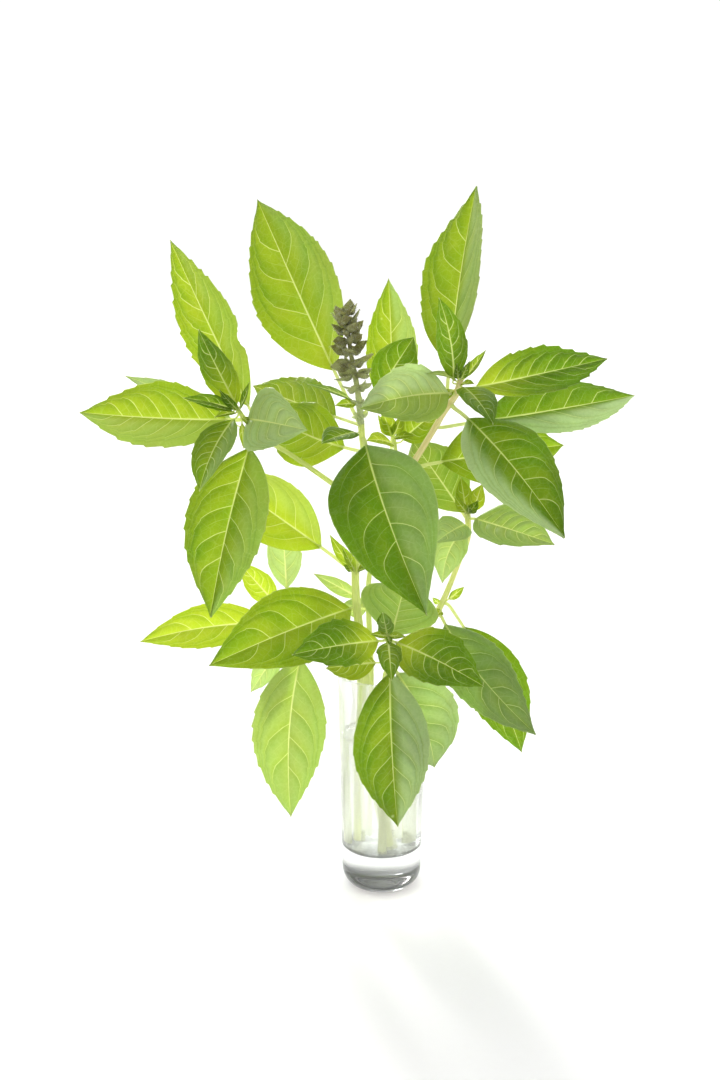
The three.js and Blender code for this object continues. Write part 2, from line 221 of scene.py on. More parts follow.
# ---- Water -----------------------------------------------------------------------------------
# Clear tap water, filling about two thirds of the glass's hollow. It climbs the wall a little at
# its edge, and is faintly green from the cut stems. The stems run through it.
water_level = 71 * mm
climb = 1.1 * mm
into_glass = 0.08 * mm
reach = outer_radius(water_level) - wall + into_glass
climb_width = 6 * mm
climb_fall = 3.4
surface = [(reach - climb_width * share, water_level + climb * math.exp(-share * climb_fall))
           for share in np.linspace(0, 1, 14)]
water_profile = hollow(water_level + climb, into_glass) + surface[1:] + [(0, water_level)]
water_mesh = turned("water_turned", water_profile)
water_finish, tree, output = new_material("clear_water")
place = put(tree, "ShaderNodeTexCoord").outputs["Object"]
height = put(tree, "ShaderNodeSeparateXYZ", {0: place}).outputs[2]
depth_share = eased(tree, height, inside_floor, water_level)
calm = put(tree, "ShaderNodeTexNoise", {"Vector": place, "Scale": 90.0, "Detail": 1.0})
water_bump = put(tree, "ShaderNodeBump", {"Height": calm.outputs[0], "Strength": 0.03, "Distance": 0.3 * mm})
water_shader = put(tree, "ShaderNodeBsdfPrincipled", {
    "Base Color": mixed(tree, depth_share, (0.965, 0.99, 0.93, 1), (0.985, 1.0, 0.965, 1)),
    "Roughness": 0.0,
    "IOR": 1.333,
    "Transmission Weight": 1.0,
    "Normal": water_bump.outputs[0],
})
lets_light_on(tree, water_shader, output, (0.96, 0.97, 0.95, 1), 0.45)
finished("water_body", water_mesh, water_finish, "water", "water")

# ---- Stems -----------------------------------------------------------------------------------
# Five cut basil stems stand in the water, and two side branches leave the tallest. They are
# four-cornered, pale green, swollen where leaves grow, and thinly covered in pale hairs.
stem_names = ["main_stem", "left_branch", "right_branch", "right_stem", "front_stem", "centre_stem",
              "back_stem"]
stem_warmth = {"main_stem": 0.15, "left_branch": 0.1, "right_branch": 1.0, "right_stem": 0.35,
               "front_stem": 0.1, "centre_stem": 0.1, "back_stem": 0.0}
sprig_of = {"main_stem": "crown_leaf", "left_branch": "left_leaf", "right_branch": "right_leaf",
            "right_stem": "low_right_leaf", "front_stem": "front_leaf", "centre_stem": "centre_leaf",
            "back_stem": "back_leaf"}
# A stem is made thinner than its CAD solid, by these shares of its width at the foot and the top.
stem_slimming = {"main_stem": (0.8, 0.55), "left_branch": (0.58, 0.62), "right_branch": (0.6, 0.66),
                 "right_stem": (0.8, 0.72), "front_stem": (0.8, 0.7), "centre_stem": (0.75, 0.6),
                 "back_stem": (0.8, 0.75)}
node_swelling = 0.28
node_reach = 2.2 * mm
corner_depth = 0.07
stem_sides = 24
stem_step = 0.9 * mm
solid_sides = 8
full_width_until = 0.35
fork_drop = 2.5 * mm


def merged(node):
    """A CAD node's points, each once, and the numbers of the points that each one's edges lead to."""
    shape = bmesh.new()
    shape.from_mesh(node.data)
    bmesh.ops.remove_doubles(shape, verts=shape.verts, dist=0.002 * mm)
    points = np.array([v.co for v in shape.verts])
    near = [[e.other_vert(v).index for e in v.link_edges] for v in shape.verts]
    shape.free()
    return points, near


def layers(near, first):
    """Point numbers in layers, each one edge farther from the first point than the last."""
    found, seen = [[first]], {first}
    while True:
        nearer = sorted({n for v in found[-1] for n in near[v]} - seen)
        if not nearer:
            return found
        seen.update(nearer)
        found.append(nearer)


def unit(v):
    return v / np.maximum(np.linalg.norm(v, axis=-1, keepdims=True), 1e-12)


def smooth_path(points, step):
    """Points a step apart on a smooth curve through the given ones, and each one's distance along."""
    points = np.asarray(points, float)
    ends = np.vstack([2 * points[0] - points[1], points, 2 * points[-1] - points[-2]])
    fine = []
    for i in range(1, len(ends) - 2):
        a, b, c, d = ends[i - 1:i + 3]
        t = np.linspace(0, 1, 24, endpoint=False)[:, None]
        fine.append(0.5 * (2 * b + (c - a) * t + (2 * a - 5 * b + 4 * c - d) * t ** 2
                           + (3 * b - a - 3 * c + d) * t ** 3))
    fine = np.vstack(fine + [points[-1:]])
    along = np.concatenate([[0], np.cumsum(np.linalg.norm(np.diff(fine, axis=0), axis=1))])
    places = np.linspace(0, along[-1], max(int(along[-1] / step), 3) + 1)
    return np.stack([np.interp(places, along, fine[:, i]) for i in range(3)], 1), places


def tube(path, radii, sides, corners=0.0, flat=1.0, across=None):
    """A closed rod round a path: its points, its faces, and each point's share of the way round."""
    path = np.asarray(path, float)
    tangents = unit(np.gradient(path, axis=0))
    start = np.array([0.2, -1, 0.1]) if across is None else np.asarray(across, float)
    across = unit(start - start.dot(tangents[0]) * tangents[0])
    angles = 2 * np.pi * np.arange(sides) / sides
    rings = []
    for centre, tangent, radius in zip(path, tangents, radii):
        across = unit(across - across.dot(tangent) * tangent)
        other = np.cross(tangent, across)
        bulge = radius * (1 + corners * np.cos(4 * angles))
        rings.append(centre + np.outer(bulge * np.cos(angles) * flat, across)
                     + np.outer(bulge * np.sin(angles), other))
    points = np.vstack([path[:1]] + rings + [path[-1:]])
    faces = []
    last = len(rings) - 1
    for k in range(sides):
        n = (k + 1) % sides
        faces.append((0, 1 + n, 1 + k, -1))
        for ring in range(last):
            low, high = 1 + ring * sides, 1 + (ring + 1) * sides
            faces.append((low + k, low + n, high + n, high + k))
        faces.append((1 + len(rings) * sides, 1 + last * sides + k, 1 + last * sides + n, -1))
    round_share = np.concatenate([[0], np.tile(np.arange(sides) / sides, len(rings)), [0]])
    return points, np.array(faces), round_share


def plain_mesh(name, points, faces, values=None, maps=None):
    """A mesh from points and faces of three (the fourth number -1) or four corners.
    values are numbers kept at each point, and maps are pairs kept at each face corner."""
    mesh = bpy.data.meshes.new(name)
    mesh.vertices.add(len(points))
    mesh.vertices.foreach_set("co", np.asarray(points, np.float32).ravel())
    kept = faces >= 0
    counts = kept.sum(1)
    mesh.loops.add(int(counts.sum()))
    mesh.loops.foreach_set("vertex_index", faces[kept].astype(np.int32))
    mesh.polygons.add(len(faces))
    mesh.polygons.foreach_set("loop_start", np.concatenate([[0], np.cumsum(counts)[:-1]]).astype(np.int32))
    mesh.update(calc_edges=True)
    for key, numbers in (values or {}).items():
        mesh.attributes.new(key, "FLOAT", "POINT").data.foreach_set("value", np.asarray(numbers, np.float32))
    for key, pairs in (maps or {}).items():
        mesh.uv_layers.new(name=key).data.foreach_set("uv", np.asarray(pairs, np.float32)[kept].ravel())
    mesh.validate()
    return mesh


def leaf_root(name):
    """The number of the point where a CAD leaf's stalk starts, the leaf's points and their edges."""
    points, near = merged(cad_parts[name])
    spans = [max(np.linalg.norm(points[n] - points[i]) for n in near[i]) for i in range(len(points))]
    return int(np.argmin(spans)), points, near


stem_paths = {}
stem_radii = {}
stem_parts = []
for name in stem_names:
    points, near = merged(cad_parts[name])
    poles = [i for i, n in enumerate(near) if len(n) == solid_sides]
    foot_pole = min(poles, key=lambda i: points[i][2])
    rings = layers(near, foot_pole)
    rings = [ring for ring in rings if len(ring) > 1]
    centres = np.array([points[ring].mean(0) for ring in rings])
    sizes = [np.linalg.norm(points[ring] - c, axis=1).mean() for ring, c in zip(rings, centres)]
    if name.endswith("branch"):
        trunk = stem_paths["main_stem"]
        fork = trunk[np.argmin(np.linalg.norm(trunk - centres[0], axis=1))]
        centres = np.vstack([fork - [0, 0, fork_drop], centres])
        sizes = [sizes[0]] + sizes
    path, along = smooth_path(centres, stem_step)
    radii = np.interp(along, np.linspace(0, along[-1], len(sizes)), sizes)
    foot_share, top_share = stem_slimming[name]
    radii = radii * np.interp(along, [0, full_width_until * along[-1], along[-1]],
                              [foot_share, foot_share, top_share])
    stem_paths[name], stem_radii[name] = path, radii.copy()
    for leaf in sorted(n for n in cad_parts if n.rsplit("_", 1)[0] == sprig_of[name]):
        first, leaf_points, _ = leaf_root(leaf)
        distance = np.linalg.norm(path - leaf_points[first], axis=1)
        place = along[np.argmin(distance)]
        radii = radii * (1 + node_swelling / 3 * np.exp(-((along - place) / node_reach) ** 2))
    points, faces, share = tube(path, radii, stem_sides, corner_depth)
    distance = np.concatenate([[0], np.repeat(along, stem_sides), [along[-1]]])
    stem_parts.append((points, faces, share, distance, stem_warmth[name]))


def gathered(parts):
    """Points and faces of several parts as one, each part's faces counted on from the last."""
    points = np.vstack([p[0] for p in parts])
    starts = np.concatenate([[0], np.cumsum([len(p[0]) for p in parts])[:-1]])
    faces = np.vstack([np.where(p[1] >= 0, p[1] + s, -1) for p, s in zip(parts, starts)])
    return points, faces


points, faces = gathered(stem_parts)
stem_map = np.vstack([np.stack([p[2], p[3]], 1)[np.maximum(p[1], 0)] for p in stem_parts])
wrap = stem_map[..., 0].max(1) - stem_map[..., 0].min(1) > 0.5
stem_map[..., 0] += (wrap[:, None] & (stem_map[..., 0] < 0.5))
warmth = np.concatenate([np.full(len(p[0]), p[4]) for p in stem_parts])
stem_mesh = plain_mesh("stems_grown", points, faces, {"warmth": warmth}, {"stem_map": stem_map})

stem_finish, tree, output = new_material("pale_green_stem")
place = put(tree, "ShaderNodeTexCoord").outputs["Object"]
own_map = put(tree, "ShaderNodeUVMap", uv_map="stem_map").outputs[0]
stretched = put(tree, "ShaderNodeMapping", {"Vector": own_map, "Scale": (14.0, 90.0, 1.0)}).outputs[0]
streaks = put(tree, "ShaderNodeTexNoise", {"Vector": stretched, "Scale": 1.0, "Detail": 4.0}).outputs[0]
mottle = put(tree, "ShaderNodeTexNoise", {"Vector": place, "Scale": 140.0, "Detail": 3.0}).outputs[0]
warm = put(tree, "ShaderNodeAttribute", attribute_name="warmth").outputs["Fac"]
height = put(tree, "ShaderNodeSeparateXYZ", {0: place}).outputs[2]
above_water_share = eased(tree, height, 0.045, 0.115)
green = mixed(tree, eased(tree, streaks, 0.35, 0.65), (0.60, 0.73, 0.11, 1), (0.82, 0.88, 0.36, 1))
tan = mixed(tree, eased(tree, streaks, 0.35, 0.65), (0.86, 0.70, 0.36, 1), (0.96, 0.90, 0.60, 1))
skin = mixed(tree, maths(tree, "MULTIPLY", warm, above_water_share), green, tan)
skin = mixed(tree, eased(tree, mottle, 0.45, 0.75, 0.0, 0.3), skin, (0.40, 0.52, 0.14, 1))
# Below the water the stems are painted nearly white, a painted light for the back light through glass and
# water.
painted_light_in_water = maths(tree, "MULTIPLY", maths(tree, "SUBTRACT", 1.0, above_water_share), 0.9)
skin = mixed(tree, painted_light_in_water, skin, (0.97, 0.97, 0.86, 1))
stem_bump = put(tree, "ShaderNodeBump", {"Height": streaks, "Strength": 0.5, "Distance": 0.25 * mm})
stem_skin = put(tree, "ShaderNodeBsdfPrincipled", {
    "Base Color": skin,
    "Roughness": eased(tree, mottle, 0.3, 0.7, 0.42, 0.6),
    "Normal": stem_bump.outputs[0],
})
stem_light = put(tree, "ShaderNodeBsdfTranslucent", {
    "Color": mixed(tree, 0.5, skin, (0.97, 1.0, 0.75, 1)), "Normal": stem_bump.outputs[0],
})
stem_mix = put(tree, "ShaderNodeMixShader", {0: 0.5, 1: stem_skin.outputs[0], 2: stem_light.outputs[0]})
tree.links.new(stem_mix.outputs[0], output.inputs[0])
finished("stems", stem_mesh, stem_finish, "stem", *stem_names)

# ---- Leaf blades: how every leaf is made -----------------------------------------------------
# A basil blade is a thin pointed oval, folded a little along its midrib, quilted between arching
# side veins and finely toothed. Its stalk runs on under the blade as the midrib.
blade_places = {7: [0.08, 0.2, 0.34, 0.5, 0.66, 0.8, 0.92], 4: [0.12, 0.34, 0.6, 0.86]}
rise = 0.85
cell = 0.85 * mm
blade_thickness = 0.32 * mm
stalk_radius = 0.85 * mm
full_half = 12 * mm
tooth_spacing = 6.0 * mm
veined_share = 0.92
first_vein = 0.04
side_offset = 0.45
before_first = 0.35
past_last = 1.65
vein_valley = 1.3 * mm
rib_valley = 1.2 * mm
ridge_width = 0.55 * mm
ridge_depth = 0.7 * mm
sprout_points = 12
# slim narrows a blade against its CAD solid; one half can carry a painted sheen (side, how strong, from how
# far out).
usual_look = {"age": 0.5, "tip_age": 0.0, "glow": 1.0, "sheen": 0.0, "quilt": 0.25, "wave": 0.03,
              "camber": 0.05, "teeth": 0.9, "pairs": 5, "widest": 0.43, "hook": 0.0, "notch": None,
              "warm_base": 0.0, "fold_more": 0.0, "slim": 1.0, "painted_sheen_side": (1, 0.0, 0.0)}


def oval(s, widest):
    """Half width of a blade as a share of its widest, from its base at 0 to its tip at 1."""
    fall = rise * (1 - widest) / widest
    return s ** rise * (1 - s) ** fall / (widest ** rise * (1 - widest) ** fall)


def leaf_lines(name):
    """What a CAD leaf says of its leaf: stalk points, and the blade's midrib, ups, width and fold."""
    first, points, near = leaf_root(name)
    rings = layers(near, first)
    tip = points[rings[-1][0]]
    rings = rings[1:-1]
    count = 7 if len(rings) >= 9 else 4
    stations = blade_places[count]
    stalk_rings = rings[:-count]
    centres, ups, halves, folds = [], [], [], []
    for station, ring in zip(stations, rings[-count:]):
        beside = {i: [n for n in near[i] if n in ring] for i in ring}
        keel = max(ring, key=lambda i: np.linalg.norm(points[beside[i][0]] - points[beside[i][1]]))
        a, b = beside[keel]
        half_a = next(n for n in beside[a] if n != keel)
        middle = next(n for n in beside[half_a] if n != a)
        up = unit(points[middle] - points[keel])
        centre = points[middle] - up * 0.25 * mm
        centres.append(centre)
        ups.append(up)
        edges = [points[a] - centre, points[b] - centre]
        halves.append(np.mean([np.linalg.norm(e) for e in edges]) / oval(station, 0.43))
        folds.append(np.mean([math.atan2(e @ up, np.linalg.norm(e - (e @ up) * up)) for e in edges]))
    stalk = np.array([points[first]] + [points[ring].mean(0) for ring in stalk_rings])
    base = stalk[-1]
    places = np.array([0] + stations + [1])
    midrib = np.vstack([[base], centres, [tip]])
    return {
        "stalk": stalk, "places": places, "midrib": midrib, "ups": np.array(ups),
        "up_places": np.array(stations), "half": float(np.median(halves)), "fold": float(np.median(folds)),
    }


def sprout_lines(start, tip, width, face, arch=0.0, fold=14.0, stalk=0.15):
    """The same lines for a small leaf given in millimetres. stalk is a share of its length."""
    start, tip = np.array(start) * mm, np.array(tip) * mm
    forward = unit(tip - start)
    face = np.array(face, float)
    up = unit(face - face.dot(forward) * forward)
    middle = start * 0.55 + tip * 0.45 + up * arch * mm
    t = np.linspace(0, 1, sprout_points)[:, None]
    curve = (1 - t) ** 2 * start + 2 * t * (1 - t) * middle + t ** 2 * tip
    cut = max(int(round(stalk * (sprout_points - 1))), 1)
    ups = []
    for tangent in unit(np.gradient(curve[cut:], axis=0)):
        ups.append(unit(up - up.dot(tangent) * tangent))
    places = np.linspace(0, 1, sprout_points - cut)
    return {
        "stalk": curve[:cut + 1], "places": places, "midrib": curve[cut:], "ups": np.array(ups),
        "up_places": places, "half": width / 2 * mm, "fold": math.radians(fold),
    }


def fitted(places, values, wanted, degree):
    """Points at the wanted places, on a smooth curve fitted to the values."""
    return np.stack([np.polyval(np.polyfit(places, values[:, i], degree), wanted) for i in range(3)], 1)


def arch_of_vein(v):
    """How far towards the tip a side vein has run, where it has gone a share v of the way out."""
    return 0.17 * v + 0.85 * v ** 7


def leaf_part(lines, look, seed, stem_path=None):
    """One leaf: its blade as a thin closed body and its stalk and midrib as a closed rod."""
    look = {**usual_look, **look}
    chance = np.random.default_rng(seed)
    half, fold = lines["half"] * look["slim"], lines["fold"] + math.radians(look["fold_more"])
    length = np.linalg.norm(np.diff(lines["midrib"], axis=0), axis=1).sum()
    rows = int(np.clip(length / cell, 14, 120))
    columns = int(np.clip(half / cell, 8, 30))
    s = np.linspace(0, 1, rows + 1)
    h = np.concatenate([[0, 0.022, 0.05, 0.09], np.linspace(0.14, 0.97, columns - 3), [1.0]])
    v = np.concatenate([-h[:0:-1], h])
    middle = len(h) - 1
    degree = 4 if len(lines["places"]) > 6 else 3
    centre = fitted(lines["places"], lines["midrib"], s, degree)
    tangent = unit(np.gradient(centre, axis=0))
    up = fitted(lines["up_places"], lines["ups"], s, 2)
    up = unit(up - (up * tangent).sum(1, keepdims=True) * tangent)
    side = np.cross(up, tangent)
    centre = centre + side * (look["hook"] * half * s ** 3)[:, None]

    # The margin: a smooth oval, cut into small teeth that point to the tip.
    teeth = max(int(length / tooth_spacing), 3)
    grown = np.clip((s - 0.16) / 0.18, 0, 1) * np.clip((0.96 - s) / 0.12, 0, 1)
    widths = []
    for way in (-1, 1):
        jitter = np.interp(s, np.linspace(0, 1, teeth + 1), chance.uniform(-0.3, 0.3, teeth + 1))
        saw = (s * teeth + jitter + chance.uniform(0, 1)) % 1
        size = np.interp(s, np.linspace(0, 1, teeth + 1), chance.uniform(0.35, 1.0, teeth + 1))
        width = half * oval(np.clip(s, 1e-4, 1 - 1e-4), look["widest"])
        width = width + look["teeth"] * mm * min(half / full_half, 1) * size * grown * (saw ** 1.6 - 0.4)
        bulge = chance.normal(0, 0.012, 2)
        width = width * (1 + bulge[0] * np.sin(5 * s + way) + bulge[1] * np.sin(11 * s + way))
        if look["notch"] and look["notch"][0] == way:
            _, at, span, deep = look["notch"]
            width = width * (1 - deep * np.exp(-((s - at) / span) ** 4))
        widths.append(np.maximum(width, 0.10 * mm + 0.5 * mm * (1 - s) ** 6))
    way = np.sign(v)
    out = np.abs(v)
    width = np.where(v[None] < 0, widths[0][:, None], widths[1][:, None])
    x = out[None] * width

    # Side veins: whole numbers of `turn` lie on a vein, and the two sides are half a step apart.
    pairs = look["pairs"]
    spacing = veined_share / pairs
    run = s[:, None] - arch_of_vein(out)[None]
    wander = 0.003 * np.sin(7 * out[None] + 11 * s[:, None] + seed)
    turns = []
    for offset in (first_vein, first_vein + side_offset * spacing):
        turn = (np.maximum(run + wander - offset, -before_first * spacing) + 0 * x) / spacing
        turns.append(np.minimum(turn, pairs - past_last))
    turn = np.where(v[None] < 0, turns[0], turns[1])
    step_out = np.maximum(np.abs(np.gradient(x, axis=1)), 0.05 * mm)
    step_on = length / rows
    slopes = [np.sqrt((np.gradient(t, axis=0) / step_on) ** 2 + (np.gradient(t, axis=1) / step_out) ** 2)
              for t in turns]
    gaps = [np.clip(1 / np.maximum(slope, 1e-6), 0.5 * mm, 30 * mm) for slope in slopes]
    gap = np.where(v[None] < 0, gaps[0], gaps[1])
    to_vein = np.abs(turn - np.round(turn)) * gap
    valley = np.exp(-(to_vein / vein_valley) ** 2) * (1 - np.clip((out[None] - 0.8) / 0.2, 0, 1) ** 2)
    small = min(half / full_half, 1)

    lift = x * math.sin(fold)
    lift += half * look["camber"] * 4 * out * (1 - out) * np.sin(np.pi * s)[:, None] ** 0.5
    lift -= half * look["camber"] * 0.8 * out ** 4
    phase = chance.uniform(0, 2 * np.pi, 2)
    for k, sided in enumerate((v < 0, v > 0)):
        waves = np.sin(2 * np.pi * (s * (1.6 + 0.5 * k)) + phase[k])[:, None]
        lift += sided * look["wave"] * half * out ** 2 * waves * np.sin(np.pi * s)[:, None]
    lift += look["quilt"] * mm * small * (1 - valley) * (1 - np.exp(-(x / rib_valley) ** 2)) * np.sqrt(
        np.clip(oval(np.clip(s, 1e-4, 1 - 1e-4), 0.45), 0, 1))[:, None]
    surface = (centre[:, None] + side[:, None] * (way[None] * x * math.cos(fold))[..., None]
               + up[:, None] * lift[..., None])
    on, across = np.gradient(surface, axis=0), np.gradient(surface, axis=1)
    normal = unit(np.cross(across, on))
    if (normal * up[:, None]).sum() < 0:
        normal = -normal
    thick = blade_thickness * (1 - 0.55 * out[None] ** 6) * np.sqrt(0.35 + 0.65 * (1 - s[:, None])) / 2
    top = surface + normal * thick[..., None]
    keel = ridge_depth * small * np.clip(1 - s, 0, 1)[:, None] ** 0.7 * np.exp(-(x / ridge_width) ** 2)
    under = surface - normal * (thick + keel)[..., None]

    wide = len(v)
    count = (rows + 1) * wide
    number = np.arange(count).reshape(rows + 1, wide)
    flip = (np.cross(across, on) * up[:, None]).sum() < 0

    def strip(a, b, turned_over):
        """Faces between two equal runs of point numbers."""
        quads = np.stack([a[:-1], a[1:], b[1:], b[:-1]], 1)
        return quads[:, ::-1] if turned_over else quads

    quads = np.stack([number[:-1, :-1], number[:-1, 1:], number[1:, 1:], number[1:, :-1]], -1).reshape(-1, 4)
    quads = quads[:, ::-1] if flip else quads
    left_quads = np.tile(np.arange(wide - 1) < middle, rows)
    below = quads[:, ::-1] + count
    edges = [strip(number[0, :], number[0, :] + count, not flip),
             strip(number[-1, :], number[-1, :] + count, flip),
             strip(number[:, 0], number[:, 0] + count, flip),
             strip(number[:, -1], number[:, -1] + count, not flip)]
    edge_left = np.concatenate([np.arange(wide - 1) < middle, np.arange(wide - 1) < middle,
                                np.ones(rows, bool), np.zeros(rows, bool)])
    faces = np.vstack([quads, below] + edges)
    on_left = np.concatenate([left_quads, left_quads, edge_left])

    # The stalk starts in the stem, and its rod ends in the ridge under the blade.
    stalk = lines["stalk"]
    if stem_path is not None:
        inside = stem_path[np.argmin(np.linalg.norm(stem_path - stalk[0], axis=1))]
        stalk = np.vstack([inside, stalk])
    sunk = centre - up * 0.3 * mm
    knots = np.vstack([stalk, sunk[[max(rows // 18, 1), max(rows // 8, 2)]]])
    knots = knots[np.concatenate([[True], np.linalg.norm(np.diff(knots, axis=0), axis=1) > 0.3 * mm])]
    path, along = smooth_path(knots, 0.8 * mm)
    stalk_length = np.linalg.norm(np.diff(stalk, axis=0), axis=1).sum()
    thick_end = stalk_radius * float(np.clip(half / (15 * mm), 0.45, 1.1))
    radii = np.interp(along, [0, stalk_length, along[-1]], [thick_end, thick_end * 0.85, 0.25 * mm])
    rod, rod_faces, _ = tube(path, radii, 10, flat=0.85, across=up[0])

    total = 2 * count
    points = np.vstack([top.reshape(-1, 3), under.reshape(-1, 3), rod])
    faces = np.vstack([faces, np.where(rod_faces >= 0, rod_faces + total, -1)])
    rods = len(rod)

    def both(grid, rod_value):
        flat_grid = np.broadcast_to(grid, (rows + 1, wide)).ravel()
        return np.concatenate([flat_grid, flat_grid, np.full(rods, rod_value, float)])

    age = look["age"] + look["tip_age"] * (s[:, None] - 0.45)
    age = age - look["warm_base"] * np.exp(-(s[:, None] / 0.3) ** 2)
    # A painted sheen on one half of the blade, a stand-in for light reflected off that half, grows from the
    # given distance out.
    sheen_way, pale, sheen_from = look["painted_sheen_side"]
    sheen_side_ramp = np.clip((out - sheen_from) / 0.3 + 0.25, 0, 1)
    values = {
        "rib_gap": both(x / mm, 0.0),
        "age": both(age + 0 * x, look["age"]),
        "glow": both(np.full_like(x, look["glow"]), look["glow"]),
        "sheen": both(look["sheen"] + pale * (v * sheen_way > 0)[None] * sheen_side_ramp[None] + 0 * x, 0.0),
        "out": both(out[None] + 0 * x, 0.0),
        "along": both(s[:, None] + 0 * x, 0.3),
        "under": np.concatenate([np.zeros(count), np.ones(count), np.full(rods, 0.5)]),
    }
    sided = []
    for t, g in zip(turns, gaps):
        flat_turn = np.concatenate([t.ravel(), t.ravel(), np.full(rods, 0.5)])
        flat_gap = np.concatenate([g.ravel(), g.ravel(), np.full(rods, 0.01)]) / mm
        sided.append(np.stack([flat_turn, flat_gap], 1))
    on_left = np.concatenate([on_left, np.zeros(len(rod_faces), bool)])
    corners = np.maximum(faces, 0)
    veins = np.where(on_left[:, None, None], sided[0][corners], sided[1][corners])
    return points, faces, values, veins


def grown(name, parts, nodes):
    """Leaves of one sprig as one piece."""
    points, faces = gathered(parts)
    values = {key: np.concatenate([p[2][key] for p in parts]) for key in parts[0][2]}
    veins = np.vstack([p[3] for p in parts])
    mesh = plain_mesh(name + "_grown", points, faces, values, {"vein_map": veins})
    return finished(name, mesh, leaf_finish, "leaf", *nodes)


# The skin's pattern: a pale midrib and side veins, a fine net between them, mottling and specks. Over it lie
# painted
# light and shade: a sheen, a lighter and darker side to each cushion, and a pale rim of back light at the
# margin.
skin_group = bpy.data.node_groups.new("leaf_skin", "ShaderNodeTree")
for key in ("Age", "Glow", "Sheen", "Rib Gap", "Vein Turn", "Vein Gap", "Out", "Along", "Under"):
    skin_group.interface.new_socket(key, in_out="INPUT", socket_type="NodeSocketFloat")
skin_group.interface.new_socket("Place", in_out="INPUT", socket_type="NodeSocketVector")
for key in ("Skin Colour", "Light Colour"):
    skin_group.interface.new_socket(key, in_out="OUTPUT", socket_type="NodeSocketColor")
for key in ("Roughness", "Height"):
    skin_group.interface.new_socket(key, in_out="OUTPUT", socket_type="NodeSocketFloat")
tree = skin_group
given = put(tree, "NodeGroupInput").outputs
result = put(tree, "NodeGroupOutput")
cloudy = put(tree, "ShaderNodeTexNoise", {"Vector": given["Place"], "Scale": 85.0, "Detail": 3.0}).outputs[0]
grain = put(tree, "ShaderNodeTexNoise", {"Vector": given["Place"], "Scale": 900.0, "Detail": 3.0}).outputs[0]
net = put(tree, "ShaderNodeTexVoronoi", {"Vector": given["Place"], "Scale": 520.0},
          feature="DISTANCE_TO_EDGE").outputs[0]
wide_net = put(tree, "ShaderNodeTexVoronoi", {"Vector": given["Place"], "Scale": 210.0},
               feature="DISTANCE_TO_EDGE").outputs[0]
speck_cells = put(tree, "ShaderNodeTexVoronoi", {"Vector": given["Place"], "Scale": 260.0})
speck_pick = put(tree, "ShaderNodeSeparateColor", {0: speck_cells.outputs["Color"]}).outputs[0]

rib_width = eased(tree, given["Along"], 0.0, 1.0, 0.56, 0.15)
rib = eased(tree, maths(tree, "DIVIDE", given["Rib Gap"], rib_width), 0.6, 1.25, 1.0, 0.0)
nearest_vein = maths(tree, "ROUND", given["Vein Turn"])
off_vein = maths(tree, "ABSOLUTE", maths(tree, "SUBTRACT", given["Vein Turn"], nearest_vein))
vein_gap = maths(tree, "MULTIPLY", off_vein, given["Vein Gap"])
vein_width = eased(tree, given["Out"], 0.0, 0.95, 0.19, 0.10)
vein = eased(tree, maths(tree, "DIVIDE", vein_gap, vein_width), 0.5, 1.25, 1.0, 0.0)
vein = maths(tree, "MULTIPLY", vein, eased(tree, given["Out"], 0.5, 0.9, 0.9, 0.0))
halfway = maths(tree, "ABSOLUTE", maths(tree, "SUBTRACT", 0.5, off_vein))
between = eased(tree, maths(tree, "MULTIPLY", halfway, given["Vein Gap"]), 0.05, 0.2, 1.0, 0.0)
between = maths(tree, "MULTIPLY", between, eased(tree, given["Out"], 0.25, 0.6, 0.3, 0.0))
thin_net = maths(tree, "ADD", eased(tree, wide_net, 0.0, 0.07, 0.10, 0.0),
                 eased(tree, net, 0.0, 0.10, 0.08, 0.0))
lines_all = maths(tree, "MAXIMUM", maths(tree, "MAXIMUM", rib, vein),
                  maths(tree, "MAXIMUM", between, thin_net))
lines_all = maths(tree, "MINIMUM", lines_all, 1.0)

# A painted shade across each cushion between veins: one side lighter, the other darker, for the quilting's
# light and shade.
painted_cushion_shade = maths(tree, "FRACT", given["Vein Turn"])
painted_cushion_shade = maths(tree, "MULTIPLY", eased(tree, painted_cushion_shade, 0.1, 0.75, -0.14, 0.14), eased(
    tree, given["Out"], 0.05, 0.3))
age = maths(tree, "ADD", given["Age"], eased(tree, cloudy, 0.3, 0.7, -0.16, 0.16))
age = maths(tree, "ADD", age, eased(tree, given["Out"], 0.0, 1.0, -0.07, 0.12))
age = maths(tree, "SUBTRACT", age, painted_cushion_shade, clamp=True)
# A painted sheen stands in for reflected light. It is strongest between the veins and lightens both colours.
sheen = maths(tree, "MULTIPLY", given["Sheen"], eased(tree, off_vein, 0.03, 0.35, 0.72, 1.03))
reflect = mixed(tree, age, (0.27, 0.37, 0.028, 1), (0.07, 0.14, 0.012, 1))
reflect = mixed(tree, sheen, reflect, (0.76, 0.80, 0.60, 1))
reflect = mixed(tree, maths(tree, "MULTIPLY", given["Under"], 0.45), reflect, (0.30, 0.38, 0.17, 1))
reflect = mixed(tree, eased(tree, grain, 0.35, 0.65, 0.0, 0.22), reflect, (0.12, 0.22, 0.03, 1))
through = mixed(tree, age, (0.73, 0.82, 0.15, 1), (0.38, 0.55, 0.06, 1))
through = mixed(tree, maths(tree, "MULTIPLY", sheen, 0.6), through, (0.72, 0.88, 0.56, 1))
bright = maths(tree, "MULTIPLY", given["Glow"], eased(tree, cloudy, 0.25, 0.75, 0.92, 1.08))
through = put(tree, "ShaderNodeMix", {0: 1.0, 6: through, 7: put(
    tree, "ShaderNodeCombineColor", {0: bright, 1: bright, 2: bright}).outputs[0]},
    data_type="RGBA", blend_type="MULTIPLY").outputs[2]
speck = maths(tree, "MULTIPLY", maths(tree, "GREATER_THAN", speck_pick, 0.985),
              eased(tree, speck_cells.outputs["Distance"], 0.1, 0.28, 0.6, 0.0))
